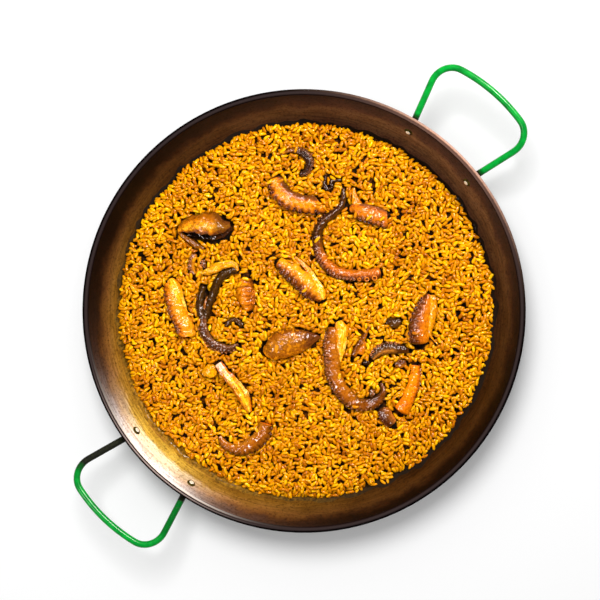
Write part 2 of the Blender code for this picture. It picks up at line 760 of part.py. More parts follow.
def make_rice(parts):
    chance = random.Random(RICE_SEED)
    corners = 2 * TURN_STEPS
    edge_radii = [RICE_RADIUS + chance.uniform(-1, 1) * EDGE_UNEVEN for _ in range(corners)]
    inner = rice_points(edge_radii, chance)
    edge = []
    for k, radius in enumerate(edge_radii):
        angle = math.tau * k / corners - SERVING_TURN
        place = Vector((math.cos(angle), math.sin(angle))) * radius
        edge.append((place, RICE_EDGE_TOP + chance.uniform(-0.6, 1.2)))
    places = [place for place, _ in edge + inner]
    ring = list(range(corners))
    _, _, faces, sources, _, _ = delaunay_2d_cdt(places, [], [ring], 1, 0.0001)
    heights = [height for _, height in edge + inner]
    bm = bmesh.new()
    top = [bm.verts.new(on_plan(*place, height)) for place, height in zip(places, heights)]
    for face in faces:
        bm.faces.new([top[k] for k in face])
    under = corner(-RICE_CLEARANCE * MM)
    for level, (radius, height) in enumerate(under[1::-1]):
        lower = []
        for k in range(TURN_STEPS):
            angle = math.tau * k / TURN_STEPS
            lower.append(bm.verts.new((radius * math.cos(angle), radius * math.sin(angle), height)))
        for k in range(TURN_STEPS):
            after = (k + 1) % TURN_STEPS
            if level:
                bm.faces.new((upper[after], upper[k], lower[k], lower[after]))
                continue
            edges = [top[(2 * k + step) % corners] for step in range(3)]
            bm.faces.new((edges[1], edges[0], lower[k]))
            bm.faces.new((edges[1], lower[k], lower[after]))
            bm.faces.new((edges[2], edges[1], lower[after]))
        upper = lower
    bm.faces.new(upper[::-1])
    bmesh.ops.recalc_face_normals(bm, faces=bm.faces)
    rice = new_object("rice", mesh_from(bm, "rice"), parts)
    finish(rice, material("saffron rice", (0.80, 0.42, 0.02), 0.4), 25)
    return rice


def main():
    clear_scene()
    parts = new_collection("rice_with_octopus")
    cutters = new_collection("cutters")
    holes = bpy.data.collections.new("rivet holes")
    cutters.children.link(holes)
    enamel = material("green enamel", (0.01, 0.30, 0.07), 0.3)
    rivet_steel = material("rivet steel", (0.75, 0.72, 0.65), 0.3, 1.0)
    turns = {"right": HANDLE_SKEW, "left": math.pi - HANDLE_SKEW}
    for name, piece in OCTOPUS.items():
        make_octopus_piece(name, piece, parts)
    make_rice(parts)
    for side, turn in turns.items():
        for place, frame in zip(("one", "two"), rivet_frames(turn)):
            make_hole(frame, holes)
            make_rivet(f"rivet_{side}_{place}", frame, parts, rivet_steel)
    make_pan(parts, holes)
    for side, turn in turns.items():
        make_handle("handle_" + side, turn, parts, holes, enamel)


main()
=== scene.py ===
import json
import math

import bpy
import numpy as np
from mathutils import Matrix, Vector

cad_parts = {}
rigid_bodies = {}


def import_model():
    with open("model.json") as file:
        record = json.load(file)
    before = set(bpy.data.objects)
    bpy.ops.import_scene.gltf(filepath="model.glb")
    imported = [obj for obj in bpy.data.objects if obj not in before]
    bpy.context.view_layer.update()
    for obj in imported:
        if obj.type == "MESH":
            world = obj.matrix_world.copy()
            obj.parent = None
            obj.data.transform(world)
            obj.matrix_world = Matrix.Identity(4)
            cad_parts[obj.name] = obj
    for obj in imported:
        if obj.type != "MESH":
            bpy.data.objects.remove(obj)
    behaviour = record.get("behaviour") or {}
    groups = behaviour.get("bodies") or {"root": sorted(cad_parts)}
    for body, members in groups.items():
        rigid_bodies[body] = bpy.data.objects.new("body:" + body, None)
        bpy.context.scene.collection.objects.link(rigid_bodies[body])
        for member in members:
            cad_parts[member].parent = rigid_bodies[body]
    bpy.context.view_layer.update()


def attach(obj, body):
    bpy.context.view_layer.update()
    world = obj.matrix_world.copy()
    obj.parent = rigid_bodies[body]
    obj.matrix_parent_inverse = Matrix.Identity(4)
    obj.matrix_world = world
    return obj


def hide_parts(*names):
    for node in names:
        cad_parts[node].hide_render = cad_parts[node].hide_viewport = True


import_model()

mm = 0.001
servingTurn = math.radians(-47.6)  # of the plan against the row frame
turnMatrix = np.array([[math.cos(servingTurn), -math.sin(servingTurn)],
                       [math.sin(servingTurn), math.cos(servingTurn)]])
chance = np.random.default_rng(46)


def toRow(points):
    # plan millimetres to the row frame in metres
    out = np.array(points, float)
    out[..., :2] = out[..., :2] @ turnMatrix.T
    return out * mm


def srgb(red, green, blue):
    # a colour as a picture shows it, made linear
    values = [c / 255 for c in (red, green, blue)]
    linear = [c / 12.92 if c < 0.04045 else ((c + 0.055) / 1.055) ** 2.4 for c in values]
    return (*linear, 1)


def ripples(points, size, seed, waves=9):
    # smooth noise from -1 to 1 over points, its bumps about size across
    draw = np.random.default_rng(seed)
    points = np.asarray(points, float)
    total = np.zeros(points.shape[:-1])
    for _ in range(waves):
        direction = draw.normal(size=points.shape[-1])
        direction *= draw.uniform(0.6, 1.5) / np.linalg.norm(direction) * 2 * math.pi / (2 * size)
        total += np.sin(points @ direction + draw.uniform(0, 2 * math.pi))
    return total / math.sqrt(waves)


# Meshes from arrays


def meshObject(name, points, quads, tris, marks=None, slots=None):
    mesh = bpy.data.meshes.new(name)
    quads = np.asarray(quads, np.int32).reshape(-1, 4)
    tris = np.asarray(tris, np.int32).reshape(-1, 3)
    corners = np.concatenate([quads.ravel(), tris.ravel()])
    starts = np.concatenate([np.arange(len(quads)) * 4, len(quads) * 4 + np.arange(len(tris)) * 3])
    mesh.vertices.add(len(points))
    mesh.vertices.foreach_set("co", toRow(points).ravel())
    mesh.loops.add(len(corners))
    mesh.loops.foreach_set("vertex_index", corners)
    mesh.polygons.add(len(starts))
    mesh.polygons.foreach_set("loop_start", starts)
    mesh.polygons.foreach_set("use_smooth", np.ones(len(starts), bool))
    if slots is not None:
        mesh.polygons.foreach_set("material_index", np.asarray(slots, np.int32))
    mesh.update(calc_edges=True)
    for key, values in (marks or {}).items():
        mark = mesh.attributes.new(key, "FLOAT", "POINT")
        mark.data.foreach_set("value", np.asarray(values, np.float32))
    made = bpy.data.objects.new(name, mesh)
    bpy.context.scene.collection.objects.link(made)
    return made


class Shape:
    # gathers the pieces of one mesh

    def __init__(self):
        self.points, self.quads, self.tris = [], [], []
        self.quadSlots, self.triSlots, self.marks = [], [], {}
        self.count = 0

    def add(self, points, quads, tris, slot=0, **marks):
        points = np.asarray(points, float).reshape(-1, 3)
        quads = np.asarray(quads, int).reshape(-1, 4)
        tris = np.asarray(tris, int).reshape(-1, 3)
        self.points.append(points)
        self.quads.append(quads + self.count)
        self.tris.append(tris + self.count)
        self.quadSlots.append(np.full(len(quads), slot))
        self.triSlots.append(np.full(len(tris), slot))
        for key, values in marks.items():
            self.marks.setdefault(key, []).append(np.broadcast_to(values, len(points)))
        self.count += len(points)

    def build(self, name, materials):
        marks = {key: np.concatenate(values) for key, values in self.marks.items()}
        slots = np.concatenate(self.quadSlots + self.triSlots)
        made = meshObject(name, np.concatenate(self.points), np.concatenate(self.quads),
                          np.concatenate(self.tris), marks, slots)
        for material in materials:
            made.data.materials.append(material)
        return made


def gridFaces(rows, columns, closed=True):
    # quads over rows of points; closed joins the last column to the first
    row = np.arange(rows - 1)[:, None] * columns
    column = np.arange(columns if closed else columns - 1)[None, :]
    after = (column + 1) % columns
    return np.stack([row + column, row + after, row + columns + after, row + columns + column],
                    -1).reshape(-1, 4)


def tubeFaces(rows, columns, flipped=False):
    # a tube's quads, and the fans that close it over two more points, one at each end
    middle = rows * columns
    ring = [(k, (k + 1) % columns) for k in range(columns)]
    last = middle - columns
    fans = [(b, a, middle) for a, b in ring] + [(last + a, last + b, middle + 1) for a, b in ring]
    turn = -1 if flipped else 1
    return gridFaces(rows, columns)[:, ::turn], np.array(fans)[:, ::turn]


def roundAngles(count):
    return np.linspace(0, 2 * math.pi, count, endpoint=False)


# Shaders


class Wire:
    # a socket of a shader; sums on it add Math nodes

    def __init__(self, shader, socket):
        self.shader, self.socket = shader, socket

    def maths(self, operation, first, second):
        return self.shader.add("Math", {"operation": operation}, [first, second])

    def __rsub__(self, other):
        return self.maths("SUBTRACT", other, self)

    def clamped(self):
        return self.shader.add("Clamp", {}, [self])


for method, operation in (("__add__", "ADD"), ("__radd__", "ADD"), ("__sub__", "SUBTRACT"),
                          ("__mul__", "MULTIPLY"), ("__truediv__", "DIVIDE"), ("__pow__", "POWER")):
    setattr(Wire, method, lambda self, other, operation=operation: self.maths(operation, self, other))


class Shader:
    def __init__(self, name, **values):
        self.material = bpy.data.materials.new(name)
        self.material.use_nodes = True
        self.tree = self.material.node_tree
        self.body = self.tree.nodes["Principled BSDF"]
        self.set(**values)

    def add(self, kind, settings, inputs=(), output=0):
        node = self.tree.nodes.new("ShaderNode" + kind)
        for key, value in settings.items():
            if key != "stops":
                setattr(node, key, value)
                continue
            ramp = node.color_ramp
            while len(ramp.elements) < len(value):
                ramp.elements.new(0.5)
            for stop, (place, colour) in zip(ramp.elements, value):
                stop.position, stop.color = place, colour
        pairs = inputs.items() if isinstance(inputs, dict) else enumerate(inputs)
        for key, value in pairs:
            self.feed(node.inputs[key], value)
        return Wire(self, node.outputs[output])

    def feed(self, socket, value):
        if isinstance(value, Wire):
            self.tree.links.new(value.socket, socket)
        else:
            socket.default_value = value

    def set(self, **values):
        for key, value in values.items():
            self.feed(self.body.inputs[key.replace("_", " ")], value)

    def ramp(self, value, stops):
        return self.add("ValToRGB", {"stops": stops}, [value])

    def tones(self, value, stops):
        # a ramp through (place, red, green, blue), as a picture shows them
        return self.ramp(value, [(place, srgb(*colour)) for place, *colour in stops])

    def mix(self, share, first, second, blend="MIX"):
        settings = {"data_type": "RGBA", "blend_type": blend}
        return self.add("Mix", settings, {0: share, 6: first, 7: second}, 2)

    def mark(self, name):
        return self.add("Attribute", {"attribute_name": name}, output="Fac")

    def place(self):
        return self.add("TexCoord", {}, output="Object")

    def noise(self, size, detail=2.0, place=None, roughness=0.5):
        inputs = {"Vector": place or self.place(), "Scale": 1 / (size * mm), "Detail": detail,
                  "Roughness": roughness}
        return self.add("TexNoise", {}, inputs)

    def bump(self, height, depth, strength=1.0):
        inputs = {"Height": height, "Distance": depth * mm, "Strength": strength}
        self.set(Normal=self.add("Bump", {}, inputs))


def lerp(a, b, share):
    return a + (b - a) * share


# The pan, a thin dish turned from one sheet

pan = {
    "sheet": 1.3,
    "floorRadius": 188.3,
    "corner": 25.0,
    "lean": math.radians(24),
    "bead": 3.1,
    "radius": 230.0,
    "height": 50.0,
    "steps": 288,
}


def arcPoints(centre, radius, start, end, steps):
    angles = np.radians(np.linspace(start, end, steps))
    return [(centre[0] + radius * math.cos(a), centre[1] + radius * math.sin(a)) for a in angles]


def panProfile():
    centre = (pan["floorRadius"], pan["sheet"] + pan["corner"])
    wall = math.degrees(pan["lean"])
    beadCentre = (pan["radius"] - pan["bead"], pan["height"] - pan["bead"])
    inner = arcPoints(centre, pan["corner"], -90, -wall, 12)
    bead = arcPoints(beadCentre, pan["bead"], 208, -126, 22)
    rise = [(lerp(inner[-1][0], bead[0][0], t), lerp(inner[-1][1], bead[0][1], t))
            for t in np.linspace(0, 1, 9)[1:-1]]
    outer = arcPoints(centre, pan["corner"] + pan["sheet"], -wall, -90, 12)
    return [(0.001, pan["sheet"]), (90, pan["sheet"])] + inner + rise + bead + outer + [(0.001, 0)]


def turnedShape(shape, profile, steps, slot=0, turn=None):
    angles = roundAngles(steps)
    profile = np.array(profile)
    ring = np.stack([np.cos(angles), np.sin(angles)], -1)
    points = np.concatenate([profile[:, None, :1] * ring[None], np.broadcast_to(
        profile[:, None, 1:], (len(profile), steps, 1))], -1)
    points = points.reshape(-1, 3)
    if turn is not None:
        points = points @ turn[:3, :3].T + turn[:3, 3]
    shape.add(points, gridFaces(len(profile), steps)[:, ::-1], [], slot)


# The wall's colours by radius, banded partly by heat tint and partly by painted reflection: its dark,
# shaded side, a painted pool of light round the lower left, and a painted highlight where it shines

wallSpan = (200.0, 230.0)
wallDark = [(200, 46, 24, 5), (204, 52, 28, 6), (208, 62, 34, 9), (212, 74, 44, 14), (215, 78, 48, 19),
            (218, 50, 27, 11), (220.5, 26, 12, 6), (224, 16, 7, 5)]
wallPaintedLight = [(200, 92, 54, 3), (204, 116, 74, 7), (208, 136, 92, 22), (212, 150, 104, 40),
            (215, 156, 104, 44), (218, 136, 86, 40), (220.5, 104, 68, 44), (224, 98, 68, 54)]
wallPaintedHighlight = [(200, 112, 70, 18), (204, 148, 98, 30), (208, 186, 144, 44), (212, 212, 172, 68),
            (215, 248, 232, 190), (218, 250, 222, 182), (220.5, 250, 224, 200), (224, 248, 242, 238)]
wallDull = [(200, 72, 42, 20), (204, 70, 41, 26), (208, 84, 54, 32), (212, 106, 72, 44), (215, 120, 84, 54),
            (218, 88, 57, 42), (220.5, 76, 52, 42), (224, 62, 44, 38)]
rimDark = [(224, 22, 13, 12), (224.8, 38, 29, 28), (225.6, 42, 34, 33), (226.4, 40, 32, 32),
           (227.1, 32, 25, 25), (227.8, 12, 7, 7), (228.5, 5, 3, 3)]
rimPaintedHighlight = [(224, 250, 244, 236), (224.8, 232, 208, 190), (225.3, 10, 6, 4), (226.1, 6, 4, 4),
           (226.9, 176, 156, 148), (227.5, 112, 94, 88), (228.2, 3, 2, 2)]
rimCopper = [(224, 46, 28, 24), (224.8, 108, 82, 70), (225.6, 100, 74, 64), (226.4, 74, 50, 42),
             (227.2, 108, 78, 64), (228, 170, 130, 106), (228.6, 170, 136, 122)]


def radiusRamp(shader, radius, stops, span=wallSpan):
    low, high = span
    share = (radius - low * mm) / ((high - low) * mm)
    return shader.tones(share.clamped(), [((r - low) / (high - low), *c) for r, *c in stops])


def fromAxis(shader, place):
    # the distance from the pan's axis, and the level part of place
    flat = shader.add("VectorMath", {"operation": "MULTIPLY"}, [place, (1, 1, 0)])
    return flat, shader.add("VectorMath", {"operation": "LENGTH"}, [flat], "Value")


def lobe(shader, flat, radius, azimuth, sharpness):
    # 1 towards an azimuth of the photograph, falling off round the pan
    azimuth = math.radians(azimuth)
    away = toRow([math.cos(azimuth), math.sin(azimuth), 0]) / mm
    towards = shader.add("VectorMath", {"operation": "DOT_PRODUCT"}, [flat, tuple(away)], "Value")
    return (towards / radius).clamped() ** sharpness


def panSteel():
    shader = Shader("seasoned steel", Metallic=0.1, Specular_IOR_Level=0.08)
    place = shader.place()
    flat, radius = fromAxis(shader, place)
    across, up = (shader.add("SeparateXYZ", {}, [place], axis) for axis in (0, 1))
    turn = up.maths("ARCTAN2", up, across)
    rings = shader.add("CombineXYZ", {}, [radius * 1000, turn * 6, 0])
    streaks = shader.add("TexNoise", {}, {"Vector": rings, "Scale": 0.8, "Detail": 5.0,
                                          "Roughness": 0.7})
    patches = shader.noise(22, 6.0, place, 0.65)
    specks = shader.noise(2.6, 4.0, place, 0.75)
    wobble = radius + (patches - 0.5) * 0.012 + (streaks - 0.5) * 0.005
    wobble = wobble + lobe(shader, flat, radius, 145, 2.0) * 0.0035
    dark, paintedLight, paintedHighlight, dull = (radiusRamp(shader, wobble, stops)
                              for stops in (wallDark, wallPaintedLight, wallPaintedHighlight, wallDull))
    outer = (radius * 100 - 20.6).clamped()
    # painted light round the lower left, the side of the wall that faces the key light
    paintedLightShare = lobe(shader, flat, radius, 218, 2.0) * (1 - outer)
    paintedLightShare = paintedLightShare + lobe(shader, flat, radius, 228, 7.0) * outer
    paintedLightShare = (paintedLightShare * (0.75 + patches * 0.6)).clamped()
    # a painted highlight where the lower-left wall shines
    paintedHighlightShare = lobe(shader, flat, radius, 223, 34.0) * (0.5 + streaks * 1.3)
    colour = shader.mix(lobe(shader, flat, radius, 56, 2.0), dark, dull)
    colour = shader.mix(paintedLightShare, colour, paintedLight)
    colour = shader.mix(paintedHighlightShare.clamped(), colour, paintedHighlight)
    colour = shader.mix(lobe(shader, flat, radius, 332, 2.0) * 0.8, colour, (0.56, 0.52, 0.46, 1),
                        "MULTIPLY")
    streakTone = shader.ramp(streaks, [(0.34, (0.42, 0.4, 0.4, 1)), (0.62, (1.25, 1.25, 1.25, 1))])
    colour = shader.mix(0.6, colour, streakTone, "MULTIPLY")
    speckTone = shader.ramp(specks, [(0.36, (0.3, 0.24, 0.2, 1)), (0.5, (1.1, 1.1, 1.1, 1))])
    colour = shader.mix(0.7, colour, speckTone, "MULTIPLY")
    shader.set(Base_Color=colour, Roughness=0.38 + streaks * 0.2)
    shader.bump(streaks + specks * 0.4, 0.2, 0.6)
    return shader.material


def rimSteel():
    # the rolled rim: blackened, worn to copper at the upper right, and with a painted highlight round the
    # lower left
    shader = Shader("blackened rim", Roughness=0.7, Specular_IOR_Level=0.0)
    place = shader.place()
    flat, radius = fromAxis(shader, place)
    grain = shader.noise(3, 4.0, place, 0.7)
    wavy = radius + (grain - 0.5) * 0.0006
    span = (224.0, 228.6)
    tones = [radiusRamp(shader, wavy, stops, span) for stops in (rimDark, rimPaintedHighlight, rimCopper)]
    # a painted highlight on the rim round the lower left
    colour = shader.mix(lobe(shader, flat, radius, 226, 20.0), tones[0], tones[1])
    share = lobe(shader, flat, radius, 48, 12.0) * (0.5 + grain)
    colour = shader.mix(share.clamped(), colour, tones[2])
    shader.set(Base_Color=colour)
    shader.bump(grain, 0.1, 0.4)
    return shader.material


def outsideSteel():
    shader = Shader("outside of the pan", Roughness=0.5, Specular_IOR_Level=0.3)
    tone = shader.noise(30, 5.0, None, 0.65)
    shader.set(Base_Color=shader.tones(tone, [(0.35, 16, 11, 10), (0.7, 46, 34, 28)]))
    shader.bump(tone, 0.2, 0.3)
    return shader.material


def makePan():
    profile = panProfile()
    inner = 2 + 12 + 7
    shape = Shape()
    turnedShape(shape, profile[:inner + 1], pan["steps"])
    turnedShape(shape, profile[inner:inner + 22], pan["steps"], 1)
    turnedShape(shape, profile[inner + 21:], pan["steps"], 2)
    made = shape.build("pan_dish", [panSteel(), rimSteel(), outsideSteel()])
    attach(made, "root")
    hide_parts("pan")


# The handles, bent wire with flattened feet, and their rivets

handle = {
    "wire": 3.5,
    "reach": 296.7,
    "skew": math.radians(1.27),
    "rise": math.radians(17),
    "spread": math.radians(17),
    "bow": 190.0,
    "bend": 21.0,
    "foot": (5.5, 1.6),  # half width and half thickness of a flattened foot
    "footTop": 36.0,
    "rivetHeight": 30.0,
    "rivetAcross": 40.2,
}


def wallRadius(height):
    start = arcPoints((pan["floorRadius"], pan["sheet"] + pan["corner"]), pan["corner"],
                      -90, -math.degrees(pan["lean"]), 2)[-1]
    return start[0] + (height - start[1]) * math.tan(pan["lean"])


def wallFrame(azimuth, height):
    # on the wall's inner face: X along the rim, Y up the wall, Z out through the sheet
    along = Vector((-math.sin(azimuth), math.cos(azimuth), 0))
    radial = Vector((math.cos(azimuth), math.sin(azimuth), 0))
    up = radial * math.sin(pan["lean"]) + Vector((0, 0, math.cos(pan["lean"])))
    place = Matrix((along, up, along.cross(up))).transposed().to_4x4()
    place.translation = radial * wallRadius(height) + Vector((0, 0, height))
    return place


def rivetFrames(turn):
    azimuth = math.asin(handle["rivetAcross"] / wallRadius(handle["rivetHeight"]))
    return [wallFrame(turn + side * azimuth, handle["rivetHeight"]) for side in (1, -1)]


def handleRoute():
    # (place, half width, half thickness) along one handle that reaches along X
    foot = rivetFrames(0)[0]
    stand = pan["sheet"] + 0.6 + handle["wire"]
    marks = []
    for up in np.linspace(-6.5, 10, 12):
        share = min(1, max(0, (up - 1.5) / 7))
        share = share * share * (3 - 2 * share)
        thick = lerp(handle["foot"][1], handle["wire"], share)
        out = lerp(pan["sheet"] + 0.5 + handle["foot"][1], stand, share)
        end = math.sqrt(max(0.06, 1 - (min(0, up + 1.5) / 5.2) ** 2))
        wide = lerp(handle["foot"][0] * end, handle["wire"], share)
        marks.append((foot @ Vector((0, up, out)), wide, thick))
    bendAt = marks[-1][0]
    start = Vector((bendAt.x, bendAt.y))
    direction = Vector((math.cos(handle["spread"]), math.sin(handle["spread"])))
    inwards = Vector((direction.y, -direction.x))
    bowCentre = Vector((handle["reach"] - handle["bow"], 0))
    offset = start + inwards * handle["bend"] - bowCentre
    half = offset.dot(direction)
    reach = (handle["bow"] - handle["bend"]) ** 2
    run = math.sqrt(half * half - offset.length_squared + reach) - half
    bendCentre = bowCentre + offset + direction * run
    bendFrom = 90 + math.degrees(handle["spread"])
    bendTo = math.degrees(math.atan2(bendCentre.y, bendCentre.x - bowCentre.x))
    plan = [start + direction * step for step in np.linspace(2.5, run, 10)[:-1]]
    plan += arcPoints(bendCentre, handle["bend"], bendFrom, bendTo, 14)
    plan += arcPoints(bowCentre, handle["bow"], bendTo, 0, 12)[1:]
    for across, along in plan:
        rise = (across - bendAt.x) * math.tan(handle["rise"])
        marks.append((Vector((across, along, bendAt.z + rise)), handle["wire"], handle["wire"]))
    mirrored = [(Vector((p.x, -p.y, p.z)), w, t) for p, w, t in marks[-2::-1]]
    return marks + mirrored


def enamel():
    shader = Shader("green enamel", Specular_IOR_Level=0.3)
    burnt = shader.mark("burnt")
    tone = shader.noise(9, 4.0)
    specks = shader.noise(2, 3.0)
    green = shader.tones(tone, [(0.3, 0, 104, 34), (0.6, 2, 142, 44)])
    blackTone = shader.tones(specks, [(0.35, 4, 4, 1), (0.65, 26, 28, 8)])
    # near black where the wire is darkened
    share = ((burnt + (tone - 0.5) * 0.5 - 0.35) * 4).clamped()
    green = shader.mix((burnt * 3).clamped() * 0.8, green, srgb(0, 54, 12))
    shader.set(Base_Color=shader.mix(share, green, blackTone), Roughness=0.22 + share * 0.4)
    shader.bump(specks, 0.1, 0.4)
    return shader.material


def makeHandle(name, turn, darken, material):
    # a swept tube whose section keeps one axis along the wall and the wire's plane
    marks = handleRoute()
    places = np.array([p for p, _, _ in marks])
    ahead = np.gradient(places, axis=0)
    ahead /= np.linalg.norm(ahead, axis=1)[:, None]
    sides = 20
    angles = roundAngles(sides)
    radial = places.copy()
    radial[:, 2] = 0
    radial /= np.linalg.norm(radial, axis=1)[:, None]
    feet = (np.abs(ahead[:, 2]) > 0.6) | (places[:, 2] < handle["footTop"])
    wallOut = radial * math.cos(pan["lean"]) - np.array([0, 0, math.sin(pan["lean"])])
    thin = np.where(feet[:, None], wallOut, np.array([0, 0, 1.0]))
    weights = np.exp(-0.5 * (np.arange(-4, 5) / 1.6) ** 2)
    padded = np.pad(thin, ((4, 4), (0, 0)), mode="edge")
    thin = sum(w * padded[k:k + len(thin)] for k, w in enumerate(weights))
    wide = np.cross(thin, ahead)
    wide /= np.linalg.norm(wide, axis=1)[:, None]
    thin = np.cross(ahead, wide)
    halfWide = np.array([w for _, w, _ in marks])
    halfThin = np.array([t for _, _, t in marks])
    points = places[:, None] + np.cos(angles)[None, :, None] * (wide * halfWide[:, None])[:, None] \
        + np.sin(angles)[None, :, None] * (thin * halfThin[:, None])[:, None]
    spin = np.array(Matrix.Rotation(turn, 3, "Z"))
    points = (points.reshape(-1, 3) @ spin.T) @ np.array(Matrix.Rotation(-servingTurn, 3, "Z")).T
    count = len(marks)
    ends = np.array([points[:sides].mean(0), points[-sides:].mean(0)])
    burnt = darken(np.arange(count) / (count - 1), np.hypot(places[:, 0], places[:, 1]))
    shape = Shape()
    shape.add(np.concatenate([points, ends]), *tubeFaces(count, sides),
              burnt=np.concatenate([np.repeat(burnt, sides), burnt[[0, -1]]]))
    made = shape.build(name + "_wire", [material])
    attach(made, "root")
    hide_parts(name)


def rivetMetal():
    shader = Shader("rivet steel", Roughness=0.35, Metallic=0.3)
    tone = shader.noise(2.2, 3.0)
    shader.set(Base_Color=shader.tones(tone, [(0.3, 214, 204, 170), (0.6, 250, 246, 232)]))
    return shader.material


def grimeRing():
    shader = Shader("grime by a rivet", Roughness=0.8, Specular_IOR_Level=0.05)
    tone = shader.noise(3, 3.0)
    shader.set(Base_Color=shader.tones(tone, [(0.3, 26, 20, 4), (0.7, 84, 70, 24)]))
    return shader.material


def makeRivet(name, place, materials):
    backToPlan = Matrix.Rotation(-servingTurn, 4, "Z")
    turn = np.array(backToPlan @ place)
    seat = pan["sheet"] + 0.8 + handle["foot"][1] * 2
    head = [(3.4 * math.cos(a), -0.25 - 1.8 * math.sin(a)) for a in np.linspace(1.5, 0, 7)]
    outer = [(3.6 * math.cos(a), seat + 1.9 * math.sin(a)) for a in np.linspace(0, 1.5, 7)]
    shape = Shape()
    turnedShape(shape, [(0.001, head[0][1])] + head[:4], 20, turn=turn)
    turnedShape(shape, head[3:] + [(2.3, -0.2)], 20, 1, turn)
    turnedShape(shape, [(2.3, -0.2), (2.3, seat)] + outer + [(0.001, outer[-1][1])], 20, turn=turn)
    ring = [(3.3, -0.4), (3.6, -0.55), (4.4, -0.4), (4.7, -0.02)]
    turnedShape(shape, ring, 24, 1, turn)
    made = shape.build(name + "_head", materials)
    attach(made, "root")
    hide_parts(name)


# The octopus: each piece is a list of strands laid on the rice. A strand's route is (right, up,
# half width[, lift]). Its bands are (place, red, green, blue) across it, from the right of the
# route to its left, and turn to endBands along it over the change. Ribs are (side, breadth,
# spacing, depth). A row of suckers is (1 left or -1 right, radius at its start, at its end,
# spacing, from, to, tilt, kind). A dome is the mantle's hollow fold.

riceTop = 12.5
flatness = 0.72
sink = 0.34

skinThin = [(0, 46, 22, 6), (0.26, 62, 32, 12), (0.4, 106, 66, 42), (0.5, 56, 28, 10), (0.78, 84, 46, 6),
            (1, 60, 32, 6)]
skinCurl = [(0, 36, 18, 12), (0.3, 62, 36, 24), (0.55, 48, 26, 16), (0.8, 112, 72, 48), (1, 50, 28, 12)]
skinDark = [(0, 42, 22, 8), (0.5, 58, 32, 12), (1, 40, 20, 6)]
skinOlive = [(0, 40, 22, 6), (0.35, 60, 36, 8), (0.6, 74, 46, 12), (1, 40, 22, 6)]
flesh = [(0, 222, 120, 4), (0.22, 240, 156, 6), (0.45, 248, 192, 16), (0.75, 246, 184, 12),
         (1, 230, 140, 6)]

# round the fold from its back foot over the dome to the lip, then the hollow under the lip, painted near
# black as shade
foldTones = [(0, 70, 34, 4), (0.1, 120, 66, 6), (0.24, 180, 102, 6), (0.36, 232, 144, 14),
             (0.47, 255, 176, 26), (0.54, 206, 116, 12), (0.59, 124, 76, 60), (0.63, 48, 20, 18),
             (0.7, 14, 5, 4), (0.85, 9, 3, 3), (0.94, 28, 12, 8), (1, 20, 9, 5)]
goldFibres = ((236, 132, 4), (255, 232, 110))

